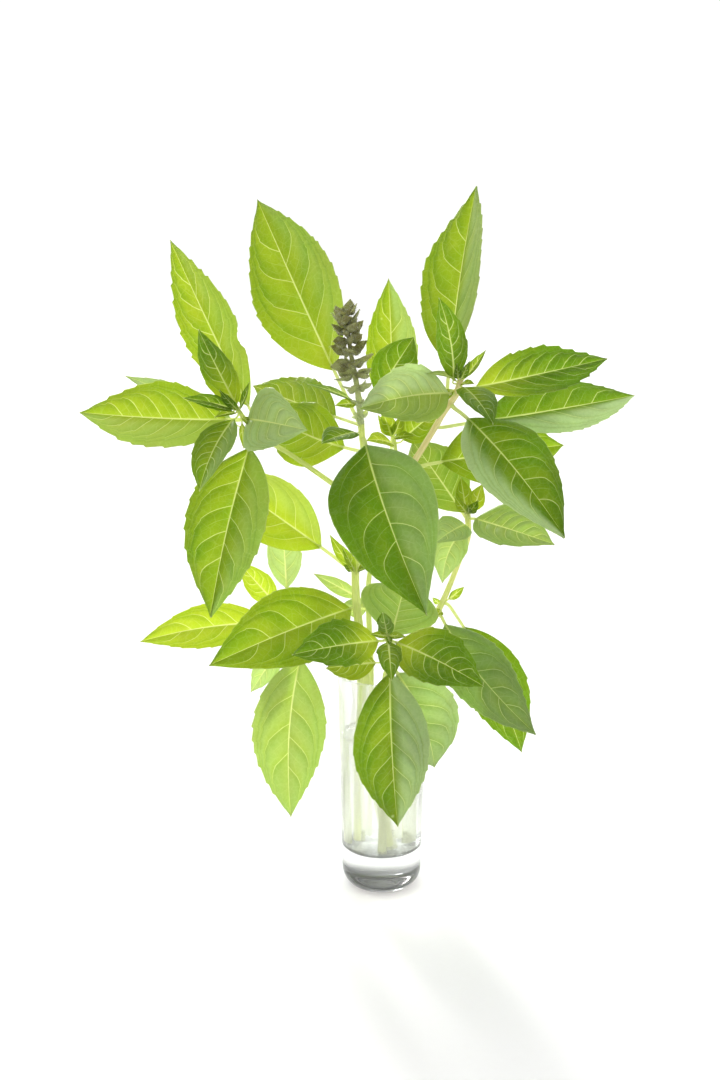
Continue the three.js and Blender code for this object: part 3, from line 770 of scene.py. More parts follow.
# The veins and specks are paler in themselves; the outermost margin is painted paler, a painted rim of back
# light.
edge = eased(tree, given["Out"], 0.965, 1.0, 0.0, 0.35)
pale = maths(tree, "MAXIMUM", maths(tree, "MULTIPLY", lines_all, 0.85), maths(tree, "MAXIMUM", speck, edge))
reflect = mixed(tree, pale, reflect, (0.80, 0.84, 0.46, 1))
through = mixed(tree, pale, through, (0.97, 1.0, 0.62, 1))
tree.links.new(reflect, result.inputs["Skin Colour"])
tree.links.new(through, result.inputs["Light Colour"])
rough = eased(tree, cloudy, 0.3, 0.7, 0.36, 0.48)
rough = maths(tree, "ADD", rough, maths(tree, "MULTIPLY", given["Under"], 0.2))
tree.links.new(rough, result.inputs["Roughness"])
cushions = eased(tree, net, 0.0, 0.35, 0.0, 0.35)
relief = maths(tree, "SUBTRACT", maths(tree, "ADD", cushions, maths(tree, "MULTIPLY", grain, 0.25)),
               maths(tree, "MULTIPLY", maths(tree, "MAXIMUM", rib, vein), 0.8))
tree.links.new(relief, result.inputs["Height"])

leaf_finish, tree, output = new_material("basil_leaf")
skin_node = put(tree, "ShaderNodeGroup", node_tree=skin_group)
for key, attribute in (("Age", "age"), ("Glow", "glow"), ("Sheen", "sheen"), ("Rib Gap", "rib_gap"),
                       ("Out", "out"), ("Along", "along"), ("Under", "under")):
    source = put(tree, "ShaderNodeAttribute", attribute_name=attribute)
    tree.links.new(source.outputs["Fac"], skin_node.inputs[key])
vein_map = put(tree, "ShaderNodeSeparateXYZ", {0: put(tree, "ShaderNodeUVMap", uv_map="vein_map").outputs[0]})
tree.links.new(vein_map.outputs[0], skin_node.inputs["Vein Turn"])
tree.links.new(vein_map.outputs[1], skin_node.inputs["Vein Gap"])
tree.links.new(put(tree, "ShaderNodeTexCoord").outputs["Object"], skin_node.inputs["Place"])
leaf_bump = put(tree, "ShaderNodeBump", {
    "Height": skin_node.outputs["Height"], "Strength": 0.55, "Distance": 0.25 * mm,
})
leaf_skin = put(tree, "ShaderNodeBsdfPrincipled", {
    "Base Color": skin_node.outputs["Skin Colour"],
    "Roughness": skin_node.outputs["Roughness"],
    "Specular IOR Level": 0.33,
    "Normal": leaf_bump.outputs[0],
})
leaf_light = put(tree, "ShaderNodeBsdfTranslucent", {"Color": skin_node.outputs["Light Colour"]})
leaf_mix = put(tree, "ShaderNodeMixShader", {0: 0.68, 1: leaf_skin.outputs[0], 2: leaf_light.outputs[0]})
tree.links.new(leaf_mix.outputs[0], output.inputs[0])

# ---- Leaves ----------------------------------------------------------------------------------
# Seven stems and branches carry 49 leaves, from young yellow-green ones to full-grown dark ones.
# Each has its own age, teeth, veins and painted sheen. Its place, length and fold come from its CAD solid.
looks = {
    "crown_leaf": [
        {"age": 1.0, "pairs": 5, "quilt": 0.3, "camber": 0.09, "teeth": 0.25, "slim": 0.93, "widest": 0.4,
         "painted_sheen_side": (1, 0.42, 0.0)},
        {"age": 0.9, "teeth": 0.4},
        {"age": 0.3, "wave": 0.12, "glow": 1.05, "pairs": 6, "slim": 0.84, "fold_more": 8, "teeth": 0.6},
        {"age": 0.45, "wave": 0.08, "pairs": 6},
        {"age": 0.5, "pairs": 5, "teeth": 1.0, "painted_sheen_side": (-1, 0.2, 0.3), "warm_base": 0.3},
        {"age": 0.85, "teeth": 0.2, "pairs": 4},
        {"age": 0.12, "glow": 1.05, "pairs": 5, "teeth": 0.4, "painted_sheen_side": (-1, 0.35, 0.2), "slim": 0.9},
    ],
    "left_leaf": [
        {"age": 0.3, "notch": (-1, 0.33, 0.05, 0.2), "pairs": 6, "slim": 0.84, "painted_sheen_side": (-1, 0.18, 0.2),
         "teeth": 1.3},
        {"age": 0.62, "camber": 0.08, "pairs": 6, "painted_sheen_side": (1, 0.25, 0.3), "warm_base": 0.15,
         "teeth": 1.2},
        {"age": 0.3, "pairs": 7, "teeth": 1.4, "painted_sheen_side": (1, 0.3, 0.1)},
        {"age": 0.62, "sheen": 0.75, "pairs": 6, "quilt": 0.5, "teeth": 0.6},
        {"age": 0.6, "tip_age": 1.5, "quilt": 0.3, "warm_base": 0.6, "teeth": 1.1},
        {"age": 0.65, "quilt": 0.5, "pairs": 6, "painted_sheen_side": (1, 0.4, 0.2), "teeth": 0.9},
        {"age": 0.9},
        {"age": 0.5, "sheen": 0.7, "slim": 0.5},
    ],
    "right_leaf": [
        {"age": 0.55, "pairs": 5, "painted_sheen_side": (-1, 0.45, 0.1), "teeth": 1.5},
        {"age": 0.95, "quilt": 0.4, "pairs": 5, "slim": 0.9},
        {"age": 0.9, "tip_age": 0.7, "quilt": 0.8, "pairs": 7, "wave": 0.06, "teeth": 1.4, "warm_base": 0.55},
        {"age": 0.98, "pairs": 5, "painted_sheen_side": (-1, 1.1, 0.15), "teeth": 0.9},
        {"age": 0.85, "camber": 0.13, "pairs": 6, "painted_sheen_side": (-1, 0.9, 0.45), "teeth": 0.7},
        {"age": 0.7, "tip_age": 0.6, "quilt": 0.4, "teeth": 0.9},
        {"age": 0.4, "quilt": 0.6, "sheen": 0.3, "painted_sheen_side": (-1, 0.75, 0.05), "pairs": 7, "teeth": 1.2},
        {"age": 0.5},
    ],
    "low_right_leaf": [
        {"age": 0.6, "pairs": 6, "sheen": 0.2},
        {"age": 0.6, "quilt": 1.0, "pairs": 7, "sheen": 0.55, "teeth": 1.3},
        {"age": 0.55, "quilt": 0.7, "sheen": 0.8}, {"age": 0.3, "sheen": 0.9},
        {"age": 0.1, "pairs": 3}, {"age": 0.1, "pairs": 3},
        {"age": 0.92, "pairs": 6, "sheen": 0.42, "camber": 0.1}, {"age": 0.9, "pairs": 6},
    ],
    "front_leaf": [
        {"age": 1.0, "tip_age": 1.0, "quilt": 0.6, "pairs": 6, "warm_base": 1.0, "teeth": 1.4},
        {"age": 0.95, "tip_age": 0.8, "quilt": 0.6, "pairs": 6, "warm_base": 1.0, "teeth": 1.3},
        {"age": 0.7, "pairs": 4, "teeth": 1.6}, {"age": 0.9, "pairs": 3},
        {"age": 0.72, "pairs": 6, "quilt": 0.5, "painted_sheen_side": (1, 0.85, 0.1), "teeth": 0.9, "camber": 0.07},
        {"age": 0.6, "sheen": 0.45, "glow": 1.1, "teeth": 0.3}, {"age": 0.8, "sheen": 0.75}, {"age": 0.2},
    ],
    "centre_leaf": [
        {"age": 0.5, "pairs": 5, "teeth": 0.6, "warm_base": 0.2}, {"age": 0.1, "pairs": 5}, {"age": 0.4},
        {"age": 0.15, "pairs": 3}, {"age": 0.42, "painted_sheen_side": (-1, 0.6, 0.1)},
    ],
    "back_leaf": [
        {"age": 0.3, "sheen": 1.0, "glow": 1.0}, {"age": 0.0, "glow": 1.04},
        {"age": 0.1, "teeth": 0.8, "glow": 1.05},
        {"age": 0.35, "sheen": 0.9}, {"age": 0.46, "pairs": 5, "sheen": 0.5, "teeth": 1.2},
    ],
}
for number, (stem_name, leaf_name) in enumerate(sprig_of.items()):
    parts, nodes = [], []
    for place, look in enumerate(looks[leaf_name], 1):
        node = f"{leaf_name}_{place}"
        parts.append(leaf_part(leaf_lines(node), look, 100 * number + place, stem_paths[stem_name]))
        nodes.append(node)
    grown(leaf_name + "s", parts, nodes)

# ---- Shoots ----------------------------------------------------------------------------------
# Where a pair of leaves leaves its stem, a short side shoot starts: a few small folded leaves,
# and at the top of most sprigs a tuft of them round the growing point. No CAD solid stands for them.
young = {"age": 0.25, "pairs": 3, "quilt": 0.2, "teeth": 0.8}
dark = {"age": 0.85, "pairs": 4, "quilt": 0.2, "teeth": 1.6}
# Start, tip and width in millimetres, then face, arch, fold, stalk and look.
shoots = {
    "main_stem": [
        ((-12, -3, 146), (-23, -4, 163), 6, (-0.3, -0.9, 0.3), 1.5, 26, 0.12, young),
        ((-12, -4, 146), (-18, -10, 160), 5, (0.2, -0.9, 0.3), 1.0, 30, 0.12, young),
        ((-11, -3, 146), (-6, -6, 156), 4, (0.5, -0.8, 0.2), 0.8, 30, 0.12, young),
        ((-13, -2, 146), (-17, -5, 150), 3, (-0.3, -0.8, 0.5), 0.5, 30, 0.2, dark),
        ((-11, -2, 146), (-7, -8, 149), 3, (0.3, -0.8, 0.5), 0.5, 30, 0.2, dark),
        ((-12, -21, 222), (-31, -30, 230), 4.5, (-0.1, -0.6, 0.8), 1.5, 20, 0.08, {**dark, "sheen": 0.3}),
        ((-9, -21, 221), (2, -26, 226), 5, (0.2, -0.8, 0.6), 1.0, 20, 0.1, young),
        ((-11, -21, 221), (-20, -26, 221), 5, (-0.2, -0.8, 0.5), 1.0, 20, 0.1, young),
    ],
    "left_branch": [
        ((-60, -25, 219), (-80, -35, 225), 7.5, (0.1, -0.8, 0.6), 1.5, 22, 0.06, dark),
        ((-59, -26, 219), (-66, -33, 228), 4.5, (-0.3, -0.9, 0.2), 1.0, 30, 0.06, dark),
        ((-59, -26, 219), (-54, -32, 231), 4, (-0.6, -0.7, 0.2), -2.0, 34, 0.06, dark),
        ((-60, -26, 218), (-68, -34, 217), 4, (-0.2, -0.8, 0.5), 1.0, 30, 0.06, young),
        ((-58, -24, 216), (-52, -31, 212), 4, (0.2, -0.8, 0.5), 1.0, 30, 0.06, young),
        ((-58, -24, 214), (-57, -30, 204), 3.5, (0.1, -0.9, 0.3), 1.0, 30, 0.06, young),
    ],
    "right_branch": [
        ((32, -22, 231), (41, -22, 243), 5, (-0.5, -0.8, 0.2), -1.5, 34, 0.06, {**dark, "age": 0.5}),
        ((31, -22, 231), (34, -28, 239), 4, (0.1, -0.9, 0.3), 0.5, 34, 0.06, dark),
        ((30, -22, 231), (29, -27, 238), 4, (-0.1, -0.9, 0.3), 0.5, 34, 0.06, dark),
        ((30, -22, 230), (16, -28, 234), 4, (-0.2, -0.6, 0.8), 3.0, 24, 0.06, {**young, "sheen": 0.5}),
        ((31, -22, 229), (36, -29, 230), 4, (0.2, -0.8, 0.5), 0.5, 30, 0.06, young),
        ((29, -20, 227), (20, -22, 221), 5, (-0.2, -0.9, 0.3), 1.0, 24, 0.06, young),
    ],
    "right_stem": [
        ((27, 2, 131), (36, 3, 138), 4.5, (0.3, -0.9, 0.2), 0.6, 24, 0.3, young),
        ((26, 2, 130), (22, 0, 134), 3, (-0.3, -0.9, 0.2), 0.5, 24, 0.3, young),
        ((26, 1, 128), (24, -3, 127), 4, (0, -0.9, 0.3), 0.5, 10, 0.2, young),
        ((37, 4, 171), (31, 0, 179), 5, (-0.4, -0.8, 0.3), 1.0, 26, 0.08, young),
        ((37, 3, 171), (41, -3, 178), 5, (0.2, -0.9, 0.3), 1.0, 26, 0.08, dark),
        ((37, 3, 171), (36, -6, 176), 4, (0, -0.8, 0.5), 1.0, 26, 0.08, dark),
    ],
    "front_stem": [
        ((1, -57, 133), (-6, -61, 135), 3.5, (-0.2, -0.8, 0.5), 0.5, 30, 0.08, young),
        ((1, -57, 133), (8, -61, 134), 3.5, (0.2, -0.8, 0.5), 0.5, 30, 0.08, young),
        ((1, -57, 133), (2, -63, 131), 3, (0.1, -0.9, 0.3), 0.5, 30, 0.08, dark),
        ((1, -55, 132), (-1, -58, 143), 7, (0.1, -0.95, 0.2), 1.0, 20, 0.06, {**dark, "sheen": 0.2}),
    ],
    "centre_stem": [
        ((-6, 13, 125), (-19, 8, 128), 9, (0, -0.95, 0.3), 1.0, 10, 0.1, {**young, "sheen": 0.8}),
        ((-6, 14, 128), (-31, 20, 140), 7, (-0.2, -0.9, 0.3), 1.5, 10, 0.2, {**young, "sheen": 0.7}),
        ((5, 26, 202), (9, 18, 213), 6, (0.2, -0.9, 0.2), 1.0, 26, 0.08, young),
        ((5, 26, 202), (-2, 20, 212), 5, (-0.3, -0.9, 0.2), 1.0, 26, 0.08, young),
        ((5, 26, 201), (14, 18, 203), 5, (0.2, -0.8, 0.5), 1.0, 26, 0.08, young),
    ],
    "back_stem": [
        ((-44, 37, 109), (-53, 33, 98), 6, (-0.2, -0.9, 0.2), 1.0, 12, 0.1, {**young, "sheen": 0.8}),
        ((-43, 37, 109), (-40, 33, 99), 6, (0.2, -0.9, 0.2), 1.0, 12, 0.1, {**young, "sheen": 0.6}),
    ],
}
shoot_parts = []
for number, (stem_name, small_leaves) in enumerate(shoots.items()):
    for place, (start, tip, width, face, arch, fold, stalk, look) in enumerate(small_leaves):
        lines = sprout_lines(start, tip, width, face, arch, fold, stalk)
        shoot_parts.append(leaf_part(lines, look, 900 + 20 * number + place, stem_paths[stem_name]))
grown("shoots", shoot_parts, [])

# ---- Flower spike ----------------------------------------------------------------------------
# The main stem ends in a spike: whorls of ribbed, pointed olive-brown calyces above small cupped
# bracts, close together at the top and looser below, on a downy axis. Its lowest part is painted
# pale, partly for the white down and partly as a painted highlight of glare.
spike_route = [(-9.5, -19.6, 213), (-10.2, -21.2, 221), (-11.4, -22.3, 230), (-13.6, -23.7, 242),
               (-15.8, -24, 258.5)]
whorl_places = [0.07, 0.19, 0.32, 0.44, 0.55, 0.65, 0.74, 0.82, 0.90, 0.97]
calyx_size = 5.0 * mm
bract_size = 7.8 * mm
axis_radius = (1.35 * mm, 0.6 * mm)
calyces_off_axis = 0.9 * mm


def made_by_nodes(name, tree, mesh, given):
    """The plain mesh that a Geometry Nodes tree makes from a mesh and named inputs."""
    worker = bpy.data.objects.new(name + "_start", mesh)
    bpy.context.scene.collection.objects.link(worker)
    modifier = worker.modifiers.new("made", "NODES")
    modifier.node_group = tree
    for item in tree.interface.items_tree:
        if item.item_type == "SOCKET" and item.in_out == "INPUT" and item.name in given:
            modifier[item.identifier] = given[item.name]
    result = bpy.data.meshes.new_from_object(worker.evaluated_get(bpy.context.evaluated_depsgraph_get()))
    result.name = name
    worker.modifiers.remove(modifier)
    bpy.data.objects.remove(worker)
    return result


def node_tree(name, inputs):
    """An empty Geometry Nodes tree with named inputs, and its input and output nodes."""
    tree = bpy.data.node_groups.new(name, "GeometryNodeTree")
    tree.interface.new_socket("Geometry", in_out="INPUT", socket_type="NodeSocketGeometry")
    for key, kind in inputs.items():
        tree.interface.new_socket(key, in_out="INPUT", socket_type=kind)
    tree.interface.new_socket("Geometry", in_out="OUTPUT", socket_type="NodeSocketGeometry")
    return tree, put(tree, "NodeGroupInput").outputs, put(tree, "NodeGroupOutput")


def cup_object(name, outline, hollow, thickness, ribs):
    """A cupped scale one long, standing up on Z with its hollow side to +Y."""
    points, rows, columns = [], 9, 8
    for skin in (0, 1):
        for i in range(rows + 1):
            t = i / rows
            half = max(outline(t), 0.012)
            for k in range(columns + 1):
                w = 2 * k / columns - 1
                swell = hollow * (1 - w * w) * math.sin(math.pi * min(t * 1.1, 1)) ** 0.8
                ridge = ribs * math.cos(3 * math.pi * w) * half
                depth = -swell - ridge - skin * thickness * (1 - 0.6 * w * w) + 0.1 * t * t
                points.append((w * half, depth, t))
    wide, count = columns + 1, (rows + 1) * (columns + 1)
    faces = []
    for i in range(rows):
        for k in range(columns):
            a, b = i * wide + k, (i + 1) * wide + k
            faces += [(a, b, b + 1, a + 1), (a + count, a + 1 + count, b + 1 + count, b + count)]
        a, b = i * wide, (i + 1) * wide
        faces += [(a, a + count, b + count, b),
                  (a + columns, b + columns, b + columns + count, a + columns + count)]
    for k in range(columns):
        top = rows * wide + k
        faces += [(k, k + 1, k + 1 + count, k + count), (top, top + count, top + 1 + count, top + 1)]
    mesh = plain_mesh(name, points, np.array(faces))
    shape = bmesh.new()
    shape.from_mesh(mesh)
    bmesh.ops.recalc_face_normals(shape, faces=shape.faces)
    shape.to_mesh(mesh)
    shape.free()
    made = bpy.data.objects.new(name, mesh)
    bpy.context.scene.collection.objects.link(made)
    return made


spike_finish, tree, output = new_material("downy_olive_calyx")
place = put(tree, "ShaderNodeTexCoord").outputs["Object"]
patches = put(tree, "ShaderNodeTexNoise", {"Vector": place, "Scale": 330.0, "Detail": 3.0}).outputs[0]
wrinkles = put(tree, "ShaderNodeTexNoise", {"Vector": place, "Scale": 1500.0, "Detail": 2.0}).outputs[0]
height = put(tree, "ShaderNodeSeparateXYZ", {0: place}).outputs[2]
aloft = eased(tree, height, 0.222, 0.250)
calyx_skin = mixed(tree, eased(tree, patches, 0.35, 0.65), (0.20, 0.18, 0.065, 1), (0.46, 0.49, 0.24, 1))
# Pale near the spike's foot: partly its white down, partly a painted highlight of glare.
calyx_skin = mixed(tree, eased(tree, height, 0.213, 0.238, 0.95, 0.0), calyx_skin, (0.80, 0.86, 0.55, 1))
calyx_skin = mixed(tree, eased(tree, wrinkles, 0.5, 0.75, 0.0, 0.4), calyx_skin, (0.70, 0.70, 0.52, 1))
calyx_bump = put(tree, "ShaderNodeBump", {"Height": wrinkles, "Strength": 0.6, "Distance": 0.2 * mm})
calyx_shader = put(tree, "ShaderNodeBsdfPrincipled", {
    "Base Color": calyx_skin, "Roughness": eased(tree, patches, 0.3, 0.7, 0.5, 0.7),
    "Normal": calyx_bump.outputs[0],
})
calyx_light = put(tree, "ShaderNodeBsdfTranslucent", {
    "Color": mixed(tree, aloft, (0.90, 0.95, 0.60, 1), (0.66, 0.66, 0.28, 1)),
})
calyx_mix = put(tree, "ShaderNodeMixShader", {0: 0.42, 1: calyx_shader.outputs[0], 2: calyx_light.outputs[0]})
tree.links.new(calyx_mix.outputs[0], output.inputs[0])

whorl_tree, given, result = node_tree("calyx_whorls", {
    "Scale Object": "NodeSocketObject", "Per Whorl": "NodeSocketInt", "Length": "NodeSocketFloat",
    "Roll": "NodeSocketFloat", "Offset": "NodeSocketFloat", "Seed": "NodeSocketInt",
    "Material": "NodeSocketMaterial",
})
tree = whorl_tree
places_in = put(tree, "GeometryNodeMeshToPoints", {"Mesh": given["Geometry"]}).outputs[0]
copies = put(tree, "GeometryNodeDuplicateElements", {"Geometry": places_in, "Amount": given["Per Whorl"]},
             domain="POINT")
axis_way = put(tree, "GeometryNodeInputNamedAttribute", {"Name": "axis"}, data_type="FLOAT_VECTOR").outputs[0]
turned_by = put(tree, "GeometryNodeInputNamedAttribute", {"Name": "turn"}, data_type="FLOAT").outputs[0]
lean_by = put(tree, "GeometryNodeInputNamedAttribute", {"Name": "lean"}, data_type="FLOAT").outputs[0]
size_by = put(tree, "GeometryNodeInputNamedAttribute", {"Name": "size"}, data_type="FLOAT").outputs[0]


def chance_between(tree, low, high, seed, step):
    """A random number for each copy. Another step gives other numbers from the same seed."""
    made = put(tree, "FunctionNodeRandomValue", {"Seed": maths(tree, "ADD", seed, step)}, data_type="FLOAT")
    floats = [i for i in made.inputs if i.type == "VALUE" and i.name in ("Min", "Max")]
    floats[0].default_value, floats[1].default_value = low, high
    return next(o for o in made.outputs if o.type == "VALUE" and o.enabled)


share = maths(tree, "DIVIDE", copies.outputs["Duplicate Index"], given["Per Whorl"])
angle = maths(tree, "ADD", maths(tree, "MULTIPLY", share, 2 * math.pi), turned_by)
shift = maths(tree, "ADD", given["Offset"], chance_between(tree, -0.3, 0.3, given["Seed"], 1))
angle = maths(tree, "ADD", angle, shift)
square = put(tree, "ShaderNodeVectorMath", {0: axis_way, 1: (0.0, 1.0, 0.2)},
             operation="CROSS_PRODUCT").outputs[0]
square = put(tree, "ShaderNodeVectorMath", {0: square}, operation="NORMALIZE").outputs[0]
outward = put(tree, "ShaderNodeVectorRotate", {"Vector": square, "Axis": axis_way, "Angle": angle},
              rotation_type="AXIS_ANGLE").outputs[0]
lean = maths(tree, "ADD", lean_by, chance_between(tree, -0.25, 0.25, given["Seed"], 2))
part_out = put(tree, "ShaderNodeVectorMath", {0: outward}, operation="SCALE")
tree.links.new(maths(tree, "COSINE", lean), part_out.inputs["Scale"])
part_up = put(tree, "ShaderNodeVectorMath", {0: axis_way}, operation="SCALE")
tree.links.new(maths(tree, "SINE", lean), part_up.inputs["Scale"])
pointing = put(tree, "ShaderNodeVectorMath", {0: part_out.outputs[0], 1: part_up.outputs[0]},
               operation="ADD").outputs[0]
stand = put(tree, "FunctionNodeAlignRotationToVector", {"Vector": pointing}, axis="Z").outputs[0]
stand = put(tree, "FunctionNodeAlignRotationToVector", {"Rotation": stand, "Vector": axis_way}, axis="Y",
            pivot_axis="Z").outputs[0]
roll = maths(tree, "MULTIPLY", given["Roll"], chance_between(tree, -1.0, 1.0, given["Seed"], 4))
rolled = put(tree, "FunctionNodeRotateRotation", {"Rotation": stand}, rotation_space="LOCAL")
roll_turn = put(tree, "FunctionNodeAxisAngleToRotation", {"Axis": (0.0, 0.0, 1.0), "Angle": roll}).outputs[0]
tree.links.new(roll_turn, rolled.inputs["Rotate By"])
off_axis = put(tree, "ShaderNodeVectorMath", {0: outward}, operation="SCALE")
off_axis.inputs["Scale"].default_value = calyces_off_axis
moved = put(tree, "GeometryNodeSetPosition", {
    "Geometry": copies.outputs["Geometry"], "Offset": off_axis.outputs[0],
})
size = maths(tree, "MULTIPLY", maths(tree, "MULTIPLY", given["Length"], size_by),
             chance_between(tree, 0.8, 1.15, given["Seed"], 3))
scale_part = put(tree, "GeometryNodeObjectInfo", {"Object": given["Scale Object"]}).outputs["Geometry"]
placed = put(tree, "GeometryNodeInstanceOnPoints", {
    "Points": moved.outputs[0], "Instance": scale_part, "Rotation": rolled.outputs[0], "Scale": size,
})
real = put(tree, "GeometryNodeRealizeInstances", {0: placed.outputs[0]})
coloured = put(tree, "GeometryNodeSetMaterial", {"Geometry": real.outputs[0], "Material": given["Material"]})
tree.links.new(coloured.outputs[0], result.inputs[0])

axis_path, along = smooth_path(np.array(spike_route) * mm, 0.6 * mm)
axis_points, axis_faces, _ = tube(axis_path, np.linspace(*axis_radius, len(axis_path)), 16, corner_depth)
directions = unit(np.gradient(axis_path, axis=0))
numbers = [int(round(t * (len(axis_path) - 1))) for t in whorl_places]
seats = bpy.data.meshes.new("whorl_seats")
seats.from_pydata([tuple(axis_path[n]) for n in numbers], [], [])
heights = np.array(whorl_places)
for key, values in (("turn", 1.1 * np.arange(len(numbers)) % (2 * math.pi)),
                    ("lean", 0.1 + 0.6 * heights ** 4),
                    ("size", np.interp(heights, [0, 0.2, 0.45, 0.8, 1], [0.35, 0.6, 1.0, 1.0, 0.8]))):
    seats.attributes.new(key, "FLOAT", "POINT").data.foreach_set("value", values.astype(np.float32))
seats.attributes.new("axis", "FLOAT_VECTOR", "POINT").data.foreach_set(
    "vector", directions[numbers].astype(np.float32).ravel())
calyx = cup_object("calyx", lambda t: 0.34 * math.sin(math.pi * t ** 0.7) ** 0.6 * (1 - 0.55 * t),
                   0.34, 0.16, 0.06)
bract = cup_object("bract", lambda t: 0.36 * oval(max(t, 1e-4), 0.42) if t < 1 else 0.0, 0.10, 0.04, 0.02)
spike_pieces = []
for key, source, per_whorl, length, roll, offset, seed in (
        ("calyces", calyx, 4, calyx_size, 0.4, 0.0, 3), ("bracts", bract, 4, bract_size, 1.1, 0.5, 8)):
    made = made_by_nodes(key, whorl_tree, seats.copy(), {
        "Scale Object": source, "Per Whorl": per_whorl, "Length": length, "Roll": roll, "Offset": offset,
        "Seed": seed, "Material": spike_finish,
    })
    spike_pieces.append(made)
for source in (calyx, bract):
    bpy.data.objects.remove(source)
shape = bmesh.new()
shape.from_mesh(plain_mesh("spike_axis", axis_points, axis_faces))
for made in spike_pieces:
    shape.from_mesh(made)
spike_mesh = bpy.data.meshes.new("spike_grown")
shape.to_mesh(spike_mesh)
shape.free()
for attribute in [a.name for a in spike_mesh.attributes if a.name in ("turn", "lean", "size", "axis")]:
    spike_mesh.attributes.remove(spike_mesh.attributes[attribute])
finished("flower_spike_grown", spike_mesh, spike_finish, "flower", "flower_spike")

# ---- Down ------------------------------------------------------------------------------------
# Fine pale hairs, each about a millimetre long, stand out on the flower spike and on the stems
# above the water. They are thin cones, scattered by Geometry Nodes.
hair_length = 0.9 * mm
hair_thickness = 0.06 * mm
bare_above_water = 8 * mm
hair_tree, given, result = node_tree("fine_hairs", {
    "Density": "NodeSocketFloat", "Length": "NodeSocketFloat", "Thickness": "NodeSocketFloat",
    "Seed": "NodeSocketInt", "Material": "NodeSocketMaterial",
})
tree = hair_tree
scattered = put(tree, "GeometryNodeDistributePointsOnFaces", {
    "Mesh": given["Geometry"], "Density": given["Density"], "Seed": given["Seed"],
})
hair = put(tree, "GeometryNodeMeshCone", {
    "Vertices": 3, "Radius Top": 0.0, "Radius Bottom": given["Thickness"], "Depth": given["Length"],
}).outputs[0]
tilt = put(tree, "FunctionNodeRandomValue", {"Seed": given["Seed"]}, data_type="FLOAT_VECTOR")
tilt.inputs[0].default_value, tilt.inputs[1].default_value = (-0.5, -0.5, 0.0), (0.5, 0.5, 6.28)
way = put(tree, "FunctionNodeRotateRotation", {"Rotation": scattered.outputs["Rotation"]},
          rotation_space="LOCAL")
lean = put(tree, "FunctionNodeEulerToRotation", {0: tilt.outputs[0]}).outputs[0]
tree.links.new(lean, way.inputs["Rotate By"])
size = chance_between(tree, 0.45, 1.15, given["Seed"], 5)
placed = put(tree, "GeometryNodeInstanceOnPoints", {
    "Points": scattered.outputs["Points"], "Instance": hair, "Rotation": way.outputs[0], "Scale": size,
})
real = put(tree, "GeometryNodeRealizeInstances", {0: placed.outputs[0]})
coloured = put(tree, "GeometryNodeSetMaterial", {"Geometry": real.outputs[0], "Material": given["Material"]})
tree.links.new(coloured.outputs[0], result.inputs[0])

hair_finish, tree, output = new_material("pale_down")
place = put(tree, "ShaderNodeTexCoord").outputs["Object"]
tips = put(tree, "ShaderNodeTexNoise", {"Vector": place, "Scale": 700.0, "Detail": 1.0}).outputs[0]
hair_shader = put(tree, "ShaderNodeBsdfPrincipled", {
    "Base Color": mixed(tree, eased(tree, tips, 0.35, 0.65), (0.78, 0.82, 0.62, 1), (0.95, 0.95, 0.88, 1)),
    "Roughness": 0.5,
})
hair_light = put(tree, "ShaderNodeBsdfTranslucent", {"Color": (0.95, 0.97, 0.85, 1)})
hair_mix = put(tree, "ShaderNodeMixShader", {0: 0.5, 1: hair_shader.outputs[0], 2: hair_light.outputs[0]})
tree.links.new(hair_mix.outputs[0], output.inputs[0])
for key, bare, slot, density, length in (("stem", stem_mesh, "stem", 190000, hair_length),
                                       ("spike", spike_mesh, "flower", 1800000, hair_length * 1.35)):
    skin = bare.copy()
    if key == "stem":
        shape = bmesh.new()
        shape.from_mesh(skin)
        low = [v for v in shape.verts if v.co.z < water_level + bare_above_water]
        bmesh.ops.delete(shape, geom=low, context="VERTS")
        shape.to_mesh(skin)
        shape.free()
    hairs = made_by_nodes(key + "_hairs", hair_tree, skin, {
        "Density": density, "Length": length, "Thickness": hair_thickness, "Seed": 5, "Material": hair_finish,
    })
    finished(key + "_down", hairs, hair_finish, slot)

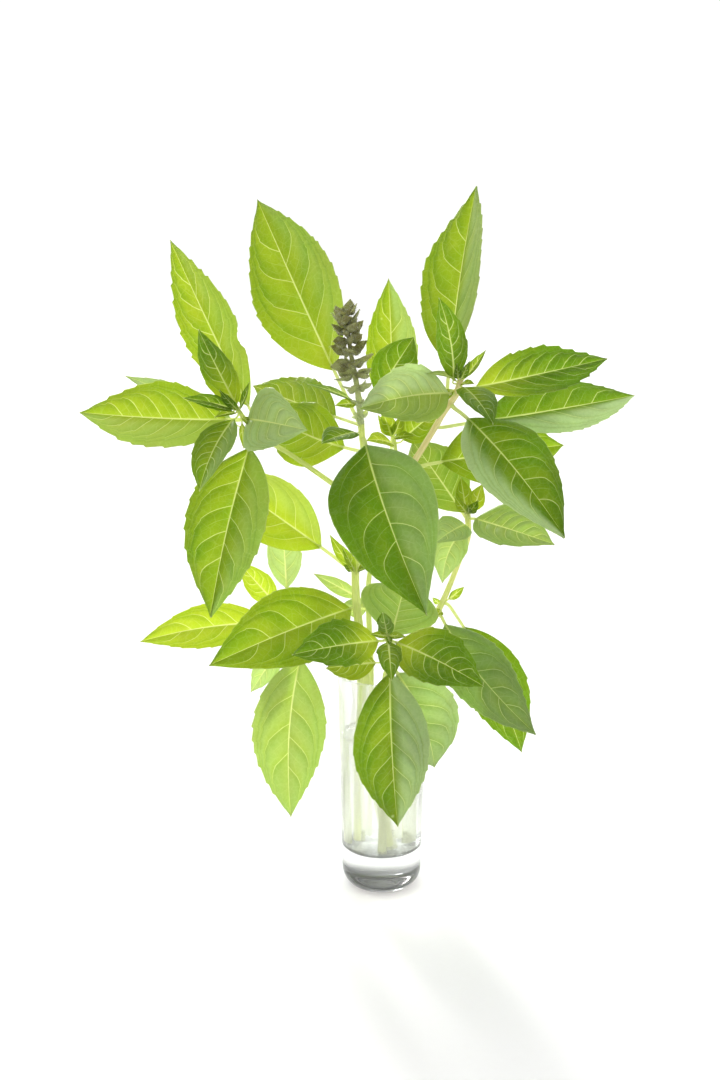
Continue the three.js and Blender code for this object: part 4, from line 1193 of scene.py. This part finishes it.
# ---- Floor, light and camera -----------------------------------------------------------------
# White paper underneath and a white studio all round, brightest high at the back left. A soft lamp,
# low behind the left side, shines forward through the leaves. The camera looks down a little.
floor_radius = 6.0
floor_mesh = bpy.data.meshes.new("floor_sheet")
shape = bmesh.new()
bmesh.ops.create_circle(shape, cap_ends=True, segments=96, radius=floor_radius)
shape.to_mesh(floor_mesh)
shape.free()
floor = bpy.data.objects.new("floor", floor_mesh)
bpy.context.scene.collection.objects.link(floor)
floor_finish, tree, output = new_material("white_paper")
place = put(tree, "ShaderNodeTexCoord").outputs["Object"]
fibres = put(tree, "ShaderNodeTexNoise", {"Vector": place, "Scale": 400.0, "Detail": 2.0}).outputs[0]
paper = put(tree, "ShaderNodeBsdfPrincipled", {
    "Base Color": mixed(tree, fibres, (0.93, 0.925, 0.92, 1), (0.95, 0.95, 0.945, 1)), "Roughness": 0.9,
    "Emission Color": (1, 1, 1, 1), "Emission Strength": 0.01,
})
tree.links.new(paper.outputs[0], output.inputs[0])
floor_mesh.materials.append(floor_finish)

studio = bpy.data.worlds.new("white_studio")
bpy.context.scene.world = studio
studio.use_nodes = True
tree = studio.node_tree
tree.nodes.clear()
direction = put(tree, "ShaderNodeSeparateXYZ", {0: put(tree, "ShaderNodeTexCoord").outputs["Generated"]})
behind = eased(tree, direction.outputs[1], -0.8, 0.6, 0.62, 1.0)
towards = put(tree, "ShaderNodeVectorMath", {
    0: put(tree, "ShaderNodeTexCoord").outputs["Generated"], 1: (-0.28, 0.78, 0.56),
}, operation="DOT_PRODUCT").outputs["Value"]
behind = maths(tree, "ADD", behind, eased(tree, towards, 0.72, 0.96, 0.0, 1.6))
seen = put(tree, "ShaderNodeLightPath").outputs["Is Camera Ray"]
strength = put(tree, "ShaderNodeMix", {0: seen, 2: behind, 3: 1.05}, data_type="FLOAT").outputs[0]
tree.links.new(put(tree, "ShaderNodeBackground", {"Color": (1, 1, 1, 1), "Strength": strength}).outputs[0],
               put(tree, "ShaderNodeOutputWorld").inputs[0])

lamp_data = bpy.data.lights.new("back_light", "SUN")
lamp_data.energy = 2.4
lamp_data.angle = math.radians(11)
lamp = bpy.data.objects.new("back_light", lamp_data)
bpy.context.scene.collection.objects.link(lamp)
lamp.rotation_euler = (math.radians(-71), 0, math.radians(20))

camera_data = bpy.data.cameras.new("camera")
camera_data.lens = 42
camera_data.sensor_fit = "VERTICAL"
camera_data.sensor_height = 36
camera = bpy.data.objects.new("camera", camera_data)
bpy.context.scene.collection.objects.link(camera)
camera.location = (-0.0099, -0.5363, 0.2738)
camera.rotation_euler = (math.radians(78), 0, 0)
bpy.context.scene.camera = camera
bpy.context.scene.view_settings.view_transform = "Standard"
